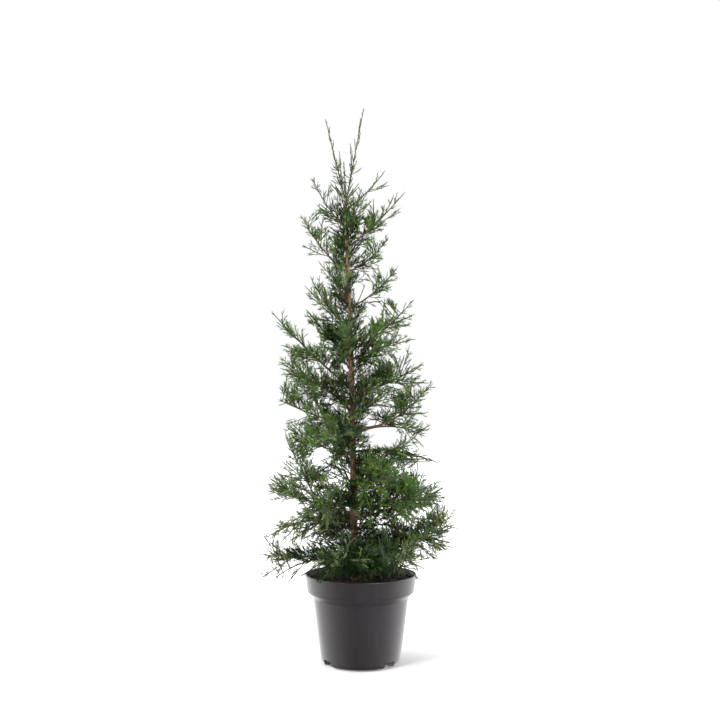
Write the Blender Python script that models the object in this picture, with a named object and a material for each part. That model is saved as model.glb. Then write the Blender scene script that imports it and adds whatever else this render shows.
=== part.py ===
"""Potted Chinese juniper, 1.1 m tall: pot, soil, trunk, boughs and masses of foliage.

Metres, +Z up, origin at the centre of the pot's flat underside. +X is the plant's right as seen
from its show side and +Y is its back. Turns are in degrees about +Z, 0 at +X and 90 at +Y.
"""

import math
import random
from collections import namedtuple

import bmesh
import bpy
from mathutils import Vector
from mathutils.geometry import intersect_point_line

UP = Vector((0, 0, 1))
GAP = 0.0003
MERGED = 1e-6
SHARP_ANGLE = 40

# Driving sizes of the pot
POT_HEIGHT = 0.170
RIM_RADIUS = 0.110
LIP_HEIGHT = 0.0030
LIP_ROUND = 0.0010
BAND_HEIGHT = 0.031
BAND_FOOT_RADIUS = 0.1052
BAND_STEP_HEIGHT = 0.013
BODY_TOP_RADIUS = 0.0935
BODY_FOOT_RADIUS = 0.0783
UNDERSIDE_RADIUS = 0.066
CORNER_HEIGHT = 0.010
WALL = 0.0022
FLOOR = 0.0148
INNER_FLOOR_RADIUS = 0.064
INNER_SLOPE_TOP = 0.030
POT_STEPS = 40
NOTCH_TURNS = (214.5, 315.5, 34.5, 135.5)
NOTCH_WIDTH = 0.0285
NOTCH_HEIGHT = 0.0125
NOTCH_INNER_RADIUS = 0.050
NOTCH_DEPTH = 0.035
NOTCH_FLARE = 0.15

# How the wall rounds in under the band, as shares of the step inwards and down, and how the lower
# corner rounds up, as shares of the corner outwards and up
BAND_CURL = ((0.10, 0.20), (0.38, 0.45), (0.68, 0.70))
CORNER_CURL = ((0.55, 0.12), (0.87, 0.45))

# Driving sizes of the soil and the trunk
SOIL_BELOW_RIM = 0.009
SOIL_TOP = POT_HEIGHT - SOIL_BELOW_RIM
SOIL_CLEARANCE = 2 * GAP
TRUNK_FOOT = SOIL_TOP + GAP
TRUNK_TOP = 0.918
TRUNK_FOOT_X = -0.0118
TRUNK_LEAN = -0.0187
TRUNK_BOW = 0.0028
TRUNK_WAVE = 0.0025
TRUNK_FOOT_RADIUS = 0.0078
TRUNK_TOP_RADIUS = 0.0028
FLARE = 0.0055
FLARE_HEIGHT = 0.012
TRUNK_RINGS = 20
TRUNK_SIDES = 10
TRUNK_RING_CROWDING = 1.5

# Driving sizes of the limbs and the stems in the foliage
LIMB_LEAST_RADIUS = 0.0008
LIMB_GROWTH = 0.012
LIMB_TAPER = 0.9
LIMB_SIDES = 6
LIMB_RINGS = 5
STEM_RINGS = 6
STEM_ROLL = 0.5
STEM_TOOTH = 0.80
STEM_TOOTH_START = 1.35
GUIDE_STEPS = 12

# Driving sizes of the toothed sprays, each a stand-in for a fan of scale-leaved twigs
SPRAY_SPACING = 0.030
FEWEST_SPRAYS = 3
FIRST_SPRAY = 0.12
LAST_SPRAY = 0.88
SPRAY_PLACE = 0.35
SPRAY_PLACE_SPREAD = 0.30
SPRAY_TURN = 137.5
SPRAY_TURN_SPREAD = 40
TURNS_TRIED = 4
SPRAY_LEAN = 52
SPRAY_LEAN_DROP = 16
SPRAY_RISE = 0.22
ROOT_SINK = 0.0004
TWIG_RADIUS = 0.0014
BLADE_RADIUS = 0.0018
BLADE_LENGTH = 0.066
BLADE_SHORTENING = 0.25
BLADE_MOST_SHARE = 0.85
BLADE_TOOTHED_SHARE = 0.70
BLADE_RINGS = 2
BLADE_TOOTH = 0.66
BLADE_TOOTH_START = 1.2
BLADE_TOOTH_DROP = 0.4
BLADE_THINNING = 0.25
TOOTH_LEAN = 45
PLUME_FOOT = 0.78
PLUME_GROWTH = 0.98
PLUME_TAPER = 0.75

# Room that foliage keeps: to the next mass's space, to wood and to the pot
SPACE_MARGIN = 0.0025
LIMB_MARGIN = 0.002
RIM_INSIDE = 0.095
TESTED_SHARES = (0.35, 0.7, 1.0)
TOOTH_TESTED_SHARE = 0.6
NEIGHBOUR_REACH = 0.45

# Crown rule for the boughs that face the show side and the back
CROWN_FOOT = 0.20
CROWN_REACH = 0.165
CROWN_TAPER = 0.165
CROWN_RISE = 0.015
CROWN_RISE_GROWTH = 0.11
CROWN_SAG = 0.006
CROWN_GIRTH = 0.076
CROWN_GIRTH_TAPER = 0.052

# One bough and the mass of foliage on it: the height of its foot on the trunk, its turn, its reach
# from the trunk, the height of its tip, how far its middle sags under the straight line, the bare
# share of its length (0: the foliage starts at the trunk) and the girth of its foliage.
Bough = namedtuple("Bough", "name foot turn reach tip sag bare girth")

SHOWN_BOUGHS = (
    Bough("left_01", 0.191, 206, 0.165, 0.175, -0.020, 0.00, 0.052),
    Bough("left_02", 0.206, 180, 0.183, 0.206, 0.004, 0.27, 0.070),
    Bough("left_03", 0.251, 205, 0.178, 0.252, -0.026, 0.00, 0.065),
    Bough("left_04", 0.287, 166, 0.177, 0.337, 0.004, 0.25, 0.070),
    Bough("left_05", 0.225, 189, 0.136, 0.443, 0.030, 0.55, 0.065),
    Bough("left_06", 0.402, 216, 0.152, 0.456, 0.008, 0.00, 0.070),
    Bough("left_07", 0.458, 160, 0.159, 0.512, 0.004, 0.22, 0.065),
    Bough("left_08", 0.503, 204, 0.150, 0.591, 0.006, 0.00, 0.065),
    Bough("left_09", 0.533, 183, 0.158, 0.685, 0.006, 0.30, 0.055),
    Bough("left_10", 0.607, 160, 0.089, 0.689, 0.010, 0.00, 0.055),
    Bough("left_11", 0.656, 202, 0.082, 0.750, 0.014, 0.00, 0.055),
    Bough("left_12", 0.769, 188, 0.095, 0.880, 0.016, 0.00, 0.048),
    Bough("left_13", 0.859, 170, 0.071, 0.961, 0.012, 0.00, 0.034),
    Bough("right_01", 0.196, 325, 0.160, 0.193, -0.016, 0.00, 0.065),
    Bough("right_02", 0.225, 0, 0.198, 0.260, 0.006, 0.26, 0.075),
    Bough("right_03", 0.278, 24, 0.198, 0.330, 0.008, 0.27, 0.070),
    Bough("right_04", 0.303, 335, 0.178, 0.321, -0.004, 0.00, 0.075),
    Bough("right_05", 0.408, 350, 0.168, 0.388, -0.012, 0.30, 0.050),
    Bough("right_06", 0.443, 16, 0.150, 0.439, -0.018, 0.60, 0.042),
    Bough("right_07", 0.459, 355, 0.156, 0.544, 0.030, 0.52, 0.050),
    Bough("right_08", 0.521, 22, 0.155, 0.587, 0.008, 0.24, 0.060),
    Bough("right_09", 0.593, 325, 0.128, 0.630, 0.002, 0.00, 0.060),
    Bough("right_10", 0.611, 8, 0.125, 0.711, 0.012, 0.00, 0.048),
    Bough("right_11", 0.696, 2, 0.095, 0.776, 0.010, 0.00, 0.034),
    Bough("right_12", 0.770, 26, 0.088, 0.842, 0.010, 0.00, 0.040),
    Bough("right_13", 0.818, 330, 0.127, 0.912, 0.006, 0.00, 0.050),
    Bough("right_14", 0.896, 10, 0.077, 0.975, 0.006, 0.00, 0.026),
)
FRONT_TURNS = (258, 240, 300, 246, 302, 262, 238, 296)
FRONT_FEET = (0.208, 0.303, 0.343, 0.428, 0.483, 0.593, 0.702, 0.832)
BACK_TURNS = (68, 116, 62, 118, 76, 114, 70, 108)
BACK_FEET = (0.213, 0.265, 0.348, 0.418, 0.503, 0.593, 0.682, 0.772)
LEADERS = (
    Bough("leader_left", 0.910, 178, 0.041, 1.080, 0.0, 0.00, 0.022),
    Bough("leader_right", 0.910, 350, 0.036, 1.100, 0.0, 0.00, 0.022),
)


def remove_start_objects():
    for thing in list(bpy.data.objects):
        bpy.data.objects.remove(thing)


def material(name, colour, roughness):
    made = bpy.data.materials.new(name)
    made.use_nodes = True
    shader = made.node_tree.nodes["Principled BSDF"]
    shader.inputs["Base Color"].default_value = (*colour, 1.0)
    shader.inputs["Roughness"].default_value = roughness
    shader.inputs["Metallic"].default_value = 0.0
    made.diffuse_color = (*colour, 1.0)
    return made


def add_object(name, mesh, paint=None):
    thing = bpy.data.objects.new(name, mesh)
    bpy.context.scene.collection.objects.link(thing)
    if paint is not None:
        mesh.materials.append(paint)
    return thing


def add_cutter(name, mesh):
    cutter = add_object(name, mesh)
    cutter.hide_render = True
    cutter.display_type = "WIRE"
    return cutter


def mesh_of(name, points, faces):
    mesh = bpy.data.meshes.new(name)
    mesh.from_pydata([tuple(point) for point in points], [], faces)
    mesh.update()
    return mesh


def shade_round(thing):
    thing.data.shade_smooth()
    thing.data.set_sharp_from_angle(angle=math.radians(SHARP_ANGLE))


def turned(name, profile, paint):
    """A solid spun about +Z from (radius, height) pairs; the first and last lie on the axis."""
    shape = bmesh.new()
    corners = [shape.verts.new((radius, 0, height)) for radius, height in profile]
    edges = [shape.edges.new(pair) for pair in zip(corners, corners[1:])]
    bmesh.ops.spin(
        shape,
        geom=corners + edges,
        axis=UP,
        cent=(0, 0, 0),
        angle=2 * math.pi,
        steps=POT_STEPS,
        use_merge=True,
    )
    bmesh.ops.remove_doubles(shape, verts=shape.verts, dist=MERGED)
    bmesh.ops.recalc_face_normals(shape, faces=shape.faces)
    mesh = bpy.data.meshes.new(name)
    shape.to_mesh(mesh)
    shape.free()
    thing = add_object(name, mesh, paint)
    shade_round(thing)
    return thing


def inner_radius(height):
    """The radius of the body's inner wall at a height."""
    top = POT_HEIGHT - BAND_HEIGHT - BAND_STEP_HEIGHT
    share = (height - CORNER_HEIGHT) / (top - CORNER_HEIGHT)
    return BODY_FOOT_RADIUS + (BODY_TOP_RADIUS - BODY_FOOT_RADIUS) * share - WALL


def band_radius(height):
    """The radius of the band's inner wall at a height."""
    share = (height - (POT_HEIGHT - BAND_HEIGHT)) / BAND_HEIGHT
    return BAND_FOOT_RADIUS + (RIM_RADIUS - BAND_FOOT_RADIUS) * share - WALL


def pot_profile():
    """The pot's wall from the axis out along its underside, up, over the lip and in to its floor."""
    band_foot = POT_HEIGHT - BAND_HEIGHT
    corner = BODY_FOOT_RADIUS - UNDERSIDE_RADIUS
    step = BAND_FOOT_RADIUS - BODY_TOP_RADIUS
    curl = [
        (BAND_FOOT_RADIUS - inward * step, band_foot - down * BAND_STEP_HEIGHT)
        for inward, down in BAND_CURL
    ]
    return (
        (0, 0),
        (UNDERSIDE_RADIUS, 0),
        *((UNDERSIDE_RADIUS + out * corner, up * CORNER_HEIGHT) for out, up in CORNER_CURL),
        (BODY_FOOT_RADIUS, CORNER_HEIGHT),
        (BODY_TOP_RADIUS, band_foot - BAND_STEP_HEIGHT),
        *reversed(curl),
        (BAND_FOOT_RADIUS, band_foot),
        (RIM_RADIUS - LIP_ROUND, POT_HEIGHT - LIP_HEIGHT),
        (RIM_RADIUS, POT_HEIGHT - LIP_HEIGHT / 2),
        (RIM_RADIUS - LIP_ROUND / 2, POT_HEIGHT),
        (RIM_RADIUS - WALL, POT_HEIGHT),
        (band_radius(band_foot), band_foot),
        (inner_radius(band_foot - BAND_STEP_HEIGHT), band_foot - BAND_STEP_HEIGHT),
        (inner_radius(INNER_SLOPE_TOP), INNER_SLOPE_TOP),
        (INNER_FLOOR_RADIUS, FLOOR),
        (0, FLOOR),
    )


def make_pot(paint):
    pot = turned("pot", pot_profile(), paint)
    for turn in NOTCH_TURNS:
        cut = pot.modifiers.new("notch", "BOOLEAN")
        cut.operation = "DIFFERENCE"
        cut.object = notch_cutter(turn)


def notch_cutter(turn):
    """A block, wider at its foot, that takes one drainage notch out of the pot's lower edge."""
    block = bmesh.new()
    bmesh.ops.create_cube(block, size=1.0)
    for corner in block.verts:
        top = corner.co.z > 0
        corner.co.x = NOTCH_INNER_RADIUS + NOTCH_DEPTH * (corner.co.x + 0.5)
        corner.co.y *= NOTCH_WIDTH * (1 - NOTCH_FLARE if top else 1 + NOTCH_FLARE)
        corner.co.z = NOTCH_HEIGHT if top else -NOTCH_HEIGHT
    mesh = bpy.data.meshes.new("notch_cutter")
    block.to_mesh(mesh)
    block.free()
    cutter = add_cutter("notch_cutter", mesh)
    cutter.rotation_euler.z = math.radians(turn)
    return cutter


def make_soil(paint):
    band_foot = POT_HEIGHT - BAND_HEIGHT
    step_foot = band_foot - BAND_STEP_HEIGHT
    turned(
        "soil",
        (
            (0, FLOOR + GAP),
            (INNER_FLOOR_RADIUS - SOIL_CLEARANCE, FLOOR + GAP),
            (inner_radius(INNER_SLOPE_TOP) - SOIL_CLEARANCE, INNER_SLOPE_TOP),
            (inner_radius(step_foot) - SOIL_CLEARANCE, step_foot),
            (band_radius(band_foot) - SOIL_CLEARANCE, band_foot + GAP),
            (band_radius(SOIL_TOP) - SOIL_CLEARANCE, SOIL_TOP),
            (0, SOIL_TOP),
        ),
        paint,
    )


def trunk_point(height):
    """The trunk's centre at a height: it leans to the left and bows a little."""
    share = (height - TRUNK_FOOT) / (TRUNK_TOP - TRUNK_FOOT)
    x = TRUNK_FOOT_X + TRUNK_LEAN * share + TRUNK_BOW * math.sin(math.pi * share)
    y = TRUNK_WAVE * math.sin(2 * math.pi * share)
    return Vector((x, y, height))


def trunk_radius(height):
    share = (height - TRUNK_FOOT) / (TRUNK_TOP - TRUNK_FOOT)
    plain = TRUNK_FOOT_RADIUS + (TRUNK_TOP_RADIUS - TRUNK_FOOT_RADIUS) * share
    return plain + FLARE * math.exp(-(height - TRUNK_FOOT) / FLARE_HEIGHT)


def tube(centres, radii, sides):
    """Points and faces of a closed limb along centres, its rings square to it and its ends flat."""
    points, faces = [], []
    side = (centres[1] - centres[0]).orthogonal().normalized()
    for ring, (centre, radius) in enumerate(zip(centres, radii)):
        before = centres[max(ring - 1, 0)]
        after = centres[min(ring + 1, len(centres) - 1)]
        ahead = (after - before).normalized()
        side = (side - ahead * side.dot(ahead)).normalized()
        across = ahead.cross(side)
        for step in range(sides):
            angle = 2 * math.pi * step / sides
            points.append(centre + (side * math.cos(angle) + across * math.sin(angle)) * radius)
    for ring in range(len(centres) - 1):
        for step in range(sides):
            a, b = ring * sides + step, ring * sides + (step + 1) % sides
            faces.append((a, b, b + sides, a + sides))
    faces.append(tuple(reversed(range(sides))))
    faces.append(tuple(range(len(points) - sides, len(points))))
    return points, faces


def trunk_mesh(name, extra):
    """The trunk's shape with its girth and its top grown by extra."""
    rise = TRUNK_TOP - TRUNK_FOOT
    shares = [(ring / TRUNK_RINGS) ** TRUNK_RING_CROWDING for ring in range(TRUNK_RINGS + 1)]
    heights = [TRUNK_FOOT + rise * share for share in shares]
    centres = [trunk_point(height) for height in heights]
    radii = [trunk_radius(height) + extra for height in heights]
    points, faces = tube(centres, radii, TRUNK_SIDES)
    for point in points[:TRUNK_SIDES]:
        point.z = TRUNK_FOOT
    for point in points[-TRUNK_SIDES:]:
        point.z = TRUNK_TOP + extra
    return mesh_of(name, points, faces)


def make_trunk(paint):
    shade_round(add_object("trunk", trunk_mesh("trunk", 0.0), paint))


def make_sleeve():
    """The trunk grown by the gap, with which limbs are cut to sit against the bark."""
    return add_cutter("sleeve", trunk_mesh("sleeve", GAP))


def ruled_boughs(side, feet, turns):
    """Boughs towards the show side or the back, as long and as steep as the crown's rule says."""
    found = []
    for number, (foot, turn) in enumerate(zip(feet, turns), 1):
        height = foot - CROWN_FOOT
        reach = CROWN_REACH - CROWN_TAPER * height
        tip = foot + CROWN_RISE + CROWN_RISE_GROWTH * height
        girth = CROWN_GIRTH - CROWN_GIRTH_TAPER * height
        name = f"{side}_{number:02d}"
        found.append(Bough(name, foot, turn, reach, tip, CROWN_SAG, 0.0, girth))
    return found


def guide(bough):
    """The bough's centre line from the trunk's heart to its tip."""
    start = trunk_point(bough.foot)
    turn = math.radians(bough.turn)
    end = start + Vector((math.cos(turn), math.sin(turn), 0)) * bough.reach
    end.z = bough.tip
    middle = (start + end) / 2 - UP * 2 * bough.sag
    steps = [step / GUIDE_STEPS for step in range(GUIDE_STEPS + 1)]
    return [start * (1 - t) ** 2 + middle * 2 * t * (1 - t) + end * t**2 for t in steps]


def along(line, share):
    """The point and the direction at a share of a centre line."""
    place = share * (len(line) - 1)
    step = min(int(place), len(line) - 2)
    ahead = line[step + 1] - line[step]
    return line[step] + ahead * (place - step), ahead.normalized()


def limb_radius(bough, share):
    return LIMB_LEAST_RADIUS + LIMB_GROWTH * bough.reach * (1 - share) ** LIMB_TAPER


def distance(point, line):
    """How far a point lies from a centre line."""
    nearest = math.inf
    for first, second in zip(line, line[1:]):
        foot, share = intersect_point_line(point, first, second)
        if share < 0:
            foot = first
        elif share > 1:
            foot = second
        nearest = min(nearest, (point - foot).length)
    return nearest


def own_space(point, bough, boughs, lines):
    """Whether a point lies in the bough's own space: nearer to it, for its girth, than to others."""
    mine = distance(point, lines[bough.name]) - bough.girth
    for other in boughs:
        line = lines[other.name]
        if other is bough or (line[0] - point).length > NEIGHBOUR_REACH:
            continue
        if distance(point, line) - other.girth < mine + SPACE_MARGIN:
            return False
    return True


def clear_of_wood(point, limbs):
    """Whether a point keeps off the trunk and the bare limbs, given as (centre line, radius)."""
    if point.z < TRUNK_TOP + LIMB_MARGIN:
        heart = trunk_point(min(max(point.z, TRUNK_FOOT), TRUNK_TOP))
        if (point - heart).length < trunk_radius(heart.z) + LIMB_MARGIN:
            return False
    return all(distance(point, line) > radius + LIMB_MARGIN for line, radius in limbs)


def clear_of_pot(point):
    """Foliage stays over the soil, over the rim or outside it."""
    out = math.hypot(point.x, point.y)
    floor = POT_HEIGHT if out > RIM_INSIDE else SOIL_TOP
    return out > RIM_RADIUS + LIMB_MARGIN or point.z > floor + LIMB_MARGIN


def toothed_limb(centres, radii, teeth, roll, allowed):
    """A closed three-sided limb that ends in a point. Where a stretch's tooth has a length, each of
    its sides is drawn out into a spike that leans forward, if the spike is allowed there."""
    points, faces = [], [(0, 1, 2)]
    side = (centres[1] - centres[0]).cross(UP).normalized()
    for ring, radius in enumerate(radii):
        ahead = (centres[ring + 1] - centres[max(ring - 1, 0)]).normalized()
        side = (side - ahead * side.dot(ahead)).normalized()
        lift = side.cross(ahead)
        for corner in range(3):
            angle = roll + 2 * math.pi * corner / 3
            edge = side * math.cos(angle) + lift * math.sin(angle)
            points.append(centres[ring] + edge * radius)
    lean = math.radians(TOOTH_LEAN)
    for ring, tooth in enumerate(teeth):
        ahead = (centres[ring + 1] - centres[ring]).normalized()
        middle = (centres[ring] + centres[ring + 1]) / 2
        for corner in range(3):
            a, b = 3 * ring + corner, 3 * ring + (corner + 1) % 3
            quad = (a, a + 3, b + 3, b)
            out = (points[a] + points[b]) / 2 - centres[ring]
            out = (out - ahead * out.dot(ahead)).normalized()
            spike = middle + (ahead * math.cos(lean) + out * math.sin(lean)) * tooth
            if tooth and allowed(spike) and allowed(middle.lerp(spike, TOOTH_TESTED_SHARE)):
                points.append(spike)
                for first, second in zip(quad, (*quad[1:], quad[0])):
                    faces.append((first, second, len(points) - 1))
            else:
                faces.append(quad)
    last = 3 * len(teeth)
    points.append(centres[-1])
    for corner in range(3):
        faces.append((last + corner, len(points) - 1, last + (corner + 1) % 3))
    return points, faces


def plume_girth(place):
    """How far side growth reaches at a share of the foliage's length: a plume, widest low down."""
    return (PLUME_FOOT + PLUME_GROWTH * place) * (1 - place) ** PLUME_TAPER


def stem(bough, line, allowed):
    """The mass's own stem, toothed from past its first stretch to its tip."""
    foot, ahead = along(line, bough.bare)
    shares = [bough.bare + (1 - bough.bare) * ring / STEM_RINGS for ring in range(STEM_RINGS)]
    centres = [along(line, share)[0] for share in shares]
    if bough.bare:
        centres[0] = foot + ahead * GAP
    radii = [limb_radius(bough, share) for share in shares]
    teeth = [0]
    for ring in range(1, STEM_RINGS - 1):
        place = (ring + 0.5) / STEM_RINGS
        teeth.append(bough.girth * STEM_TOOTH * (STEM_TOOTH_START - place))
    return toothed_limb([*centres, line[-1]], radii, teeth, STEM_ROLL, allowed)


def spray(root, ahead, twig, blade, roll, allowed):
    """A three-sided twig that widens into a toothed blade."""
    neck = root + ahead * twig
    centres, radii, teeth = [root, neck], [TWIG_RADIUS, BLADE_RADIUS], [0]
    for ring in range(1, BLADE_RINGS + 1):
        share = ring / BLADE_RINGS
        centres.append(neck + ahead * blade * BLADE_TOOTHED_SHARE * share)
        radii.append(BLADE_RADIUS * (1 - BLADE_THINNING * share))
        teeth.append(blade * BLADE_TOOTH * (BLADE_TOOTH_START - BLADE_TOOTH_DROP * share))
    centres.append(neck + ahead * blade)
    return toothed_limb(centres, radii, teeth, roll, allowed)


def grow_mass(bough, line, allowed, dice):
    """The stem and the sprays of one mass, as (points, faces) of closed shells that overlap."""
    shells = [stem(bough, line, allowed)]
    first = max(bough.bare, FIRST_SPRAY)
    length = sum((b - a).length for a, b in zip(line, line[1:])) * (1 - first)
    count = max(FEWEST_SPRAYS, round(length / SPRAY_SPACING))
    turns = 0
    for number in range(count):
        place = (number + SPRAY_PLACE + SPRAY_PLACE_SPREAD * dice.random()) / count
        root, ahead = along(line, first + (1 - first) * place * LAST_SPRAY)
        side = ahead.cross(UP).normalized()
        lean = math.radians(SPRAY_LEAN - SPRAY_LEAN_DROP * place)
        reach = bough.girth * plume_girth(place) / math.sin(lean)
        blade = min(BLADE_LENGTH * (1 - BLADE_SHORTENING * place), BLADE_MOST_SHARE * reach)
        roll = 2 * math.pi * dice.random()
        for _ in range(TURNS_TRIED):
            turns += 1
            turn = math.radians(turns * SPRAY_TURN + SPRAY_TURN_SPREAD * dice.random())
            out = side * math.cos(turn) + side.cross(ahead) * math.sin(turn)
            course = ahead * math.cos(lean) + out * math.sin(lean) + UP * SPRAY_RISE
            course.normalize()
            if all(allowed(root + course * reach * share) for share in TESTED_SHARES):
                foot = root - course * ROOT_SINK
                shells.append(spray(foot, course, reach - blade, blade, roll, allowed))
                break
    return shells


def cut_by(thing, cutter):
    cut = thing.modifiers.new("seat", "BOOLEAN")
    cut.operation = "DIFFERENCE"
    cut.solver = "MANIFOLD"
    cut.object = cutter


def apply_modifiers(thing):
    graph = bpy.context.evaluated_depsgraph_get()
    made = bpy.data.meshes.new_from_object(thing.evaluated_get(graph), depsgraph=graph)
    thing.modifiers.clear()
    thing.data = made


def shell_of(vert):
    """Every point that edges join to this one."""
    found = {vert}
    waiting = [vert]
    while waiting:
        here = waiting.pop()
        for edge in here.link_edges:
            other = edge.other_vert(here)
            if other not in found:
                found.add(other)
                waiting.append(other)
    return found


def keep_one_body(thing):
    """Fills hollows that the union sealed and drops loose scraps: only the largest shell stays."""
    work = bmesh.new()
    work.from_mesh(thing.data)
    largest, seen = set(), set()
    for vert in work.verts:
        if vert not in seen:
            shell = shell_of(vert)
            seen |= shell
            largest = max(largest, shell, key=len)
    bmesh.ops.delete(work, geom=[v for v in work.verts if v not in largest], context="VERTS")
    work.to_mesh(thing.data)
    work.free()


def join_shells(name, shells, paint, cutter):
    """One closed solid from overlapping closed shells, by one union on a collection."""
    whole = add_object(name, mesh_of(name, *shells[0]), paint)
    parts = bpy.data.collections.new(name + "_parts")
    bpy.context.scene.collection.children.link(parts)
    for points, faces in shells[1:]:
        parts.objects.link(bpy.data.objects.new(name + "_part", mesh_of(name, points, faces)))
    union = whole.modifiers.new("union", "BOOLEAN")
    union.operation = "UNION"
    union.operand_type = "COLLECTION"
    union.collection = parts
    union.solver = "MANIFOLD"
    if cutter is not None:
        cut_by(whole, cutter)
    apply_modifiers(whole)
    for piece in list(parts.objects):
        bpy.data.objects.remove(piece)
    bpy.data.collections.remove(parts)
    keep_one_body(whole)


def bare_part(bough, line):
    """The bare stretch of a bough's centre line, a step past its end included."""
    return line[: 2 + int(bough.bare * GUIDE_STEPS)]


def make_limb(bough, line, sleeve, paint):
    """The bare wood of a bough, from the bark to where it enters its mass."""
    shares = [bough.bare * ring / LIMB_RINGS for ring in range(LIMB_RINGS + 1)]
    centres = [along(line, share)[0] for share in shares]
    shell = tube(centres, [limb_radius(bough, share) for share in shares], LIMB_SIDES)
    limb = add_object("bough_" + bough.name, mesh_of("limb", *shell), paint)
    shade_round(limb)
    cut_by(limb, sleeve)


def make_crown(boughs, sleeve, bark, green):
    lines = {bough.name: guide(bough) for bough in boughs}
    for seed, bough in enumerate(boughs):
        line = lines[bough.name]
        limbs = [
            (bare_part(other, lines[other.name]), limb_radius(other, 0))
            for other in boughs
            if other is not bough
        ]
        if bough.bare:
            make_limb(bough, line, sleeve, bark)
            limbs.append((bare_part(bough, line)[:-1], limb_radius(bough, 0)))

        def allowed(point, bough=bough, limbs=limbs):
            return (
                clear_of_pot(point)
                and clear_of_wood(point, limbs)
                and own_space(point, bough, boughs, lines)
            )

        shells = grow_mass(bough, line, allowed, random.Random(seed))
        join_shells("foliage_" + bough.name, shells, green, None if bough.bare else sleeve)


def main():
    remove_start_objects()
    bark = material("bark", (0.22, 0.115, 0.07), 0.85)
    make_pot(material("pot_plastic", (0.055, 0.050, 0.052), 0.42))
    make_soil(material("peat", (0.030, 0.018, 0.012), 0.95))
    make_trunk(bark)
    boughs = [
        *SHOWN_BOUGHS,
        *ruled_boughs("front", FRONT_FEET, FRONT_TURNS),
        *ruled_boughs("back", BACK_FEET, BACK_TURNS),
        *LEADERS,
    ]
    green = material("scale_leaves", (0.035, 0.13, 0.025), 0.6)
    make_crown(boughs, make_sleeve(), bark, green)


main()
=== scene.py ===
"""The looks of the potted juniper: pot, peat, bark, twigs and sprays of scale leaves.

Metres, +Z up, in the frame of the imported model. The boughs and their side twigs follow the same rule
and sizes as the model's source, and are carried on to finer sprays within the same reach.
"""

import math
import random
from collections import namedtuple
from itertools import count, islice

import bpy
import numpy as np
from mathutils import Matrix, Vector


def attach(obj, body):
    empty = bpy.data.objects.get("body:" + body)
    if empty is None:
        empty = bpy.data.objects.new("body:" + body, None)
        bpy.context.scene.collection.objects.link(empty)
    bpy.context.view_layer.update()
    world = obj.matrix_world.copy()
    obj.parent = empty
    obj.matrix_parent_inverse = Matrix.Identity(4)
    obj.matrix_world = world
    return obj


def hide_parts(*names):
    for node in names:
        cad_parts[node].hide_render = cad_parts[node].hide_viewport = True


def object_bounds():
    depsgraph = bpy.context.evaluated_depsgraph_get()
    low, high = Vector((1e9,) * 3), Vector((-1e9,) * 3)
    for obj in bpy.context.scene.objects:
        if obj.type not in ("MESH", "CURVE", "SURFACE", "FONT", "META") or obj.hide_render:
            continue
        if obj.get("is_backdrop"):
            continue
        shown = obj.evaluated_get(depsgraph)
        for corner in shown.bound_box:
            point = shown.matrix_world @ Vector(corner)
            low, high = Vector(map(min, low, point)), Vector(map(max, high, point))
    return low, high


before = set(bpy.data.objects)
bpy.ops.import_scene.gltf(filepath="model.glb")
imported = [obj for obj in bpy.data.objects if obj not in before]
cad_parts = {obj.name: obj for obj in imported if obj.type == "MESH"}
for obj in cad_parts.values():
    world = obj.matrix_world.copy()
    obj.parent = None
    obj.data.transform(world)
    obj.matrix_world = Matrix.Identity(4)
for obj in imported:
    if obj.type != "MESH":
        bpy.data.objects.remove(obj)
cad_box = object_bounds()

UP = np.array((0.0, 0.0, 1.0))
BODY = "root"

# Camera, at the height and distance that the photograph's perspective gives
CAMERA_PLACE = (-0.0016, -1.8, 0.4714)
CAMERA_PITCH = 3.75
CAMERA_LENS = 44.94
CAMERA_REACH = 50

# Light of the surround: how bright the backdrop and the room in front of it are for what they light,
# and the front, the back and the floor for what mirrors them, each pair with its span of directions
BACKDROP_LIGHT = 0.85
ROOM_LIGHT = 0.10
ROOM_SPAN = (-0.7, 0.4)
MIRRORED_FRONT = 0.45
MIRRORED_BACK = 2.5
MIRRORED_SPAN = (-1.0, 0.2)
MIRRORED_FLOOR = 0.25
MIRRORED_FLOOR_SPAN = (-0.75, -0.45)
WHITE = (1, 1, 1, 1)

# Floor: its tone, how it glows with the distance and how much of the glow it throws on things
FLOOR_RADIUS = 14
FLOOR_SIDES = 96
FLOOR_LEVEL = -0.0004
FLOOR_GREY = (0.80, 0.80, 0.80, 1)
FLOOR_ROUGHNESS = 0.9
FLOOR_SHEEN = 0.2
FLOOR_GLOW = 0.15
FLOOR_GLOW_SPAN = (0.25, 2.2)
FLOOR_THROW = 0.30

# Lamps: name, place, size, power and how strongly they are mirrored
LAMPS = (
    ("key", (-1.3, -1.5, 2.2), 0.9, 62, 0.15),
    ("fill", (1.15, -1.9, 0.6), 0.9, 24, 1.0),
    ("left_strip", (-2.2, 0.1, 0.8), 1.0, 22, 1.0),
    ("right_strip", (2.2, 0.2, 0.8), 1.0, 22, 1.0),
    ("top", (0.1, 0.3, 3.0), 1.4, 40, 1.0),
)
LAMP_AIM = Vector((0, 0, 0.45))

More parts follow.
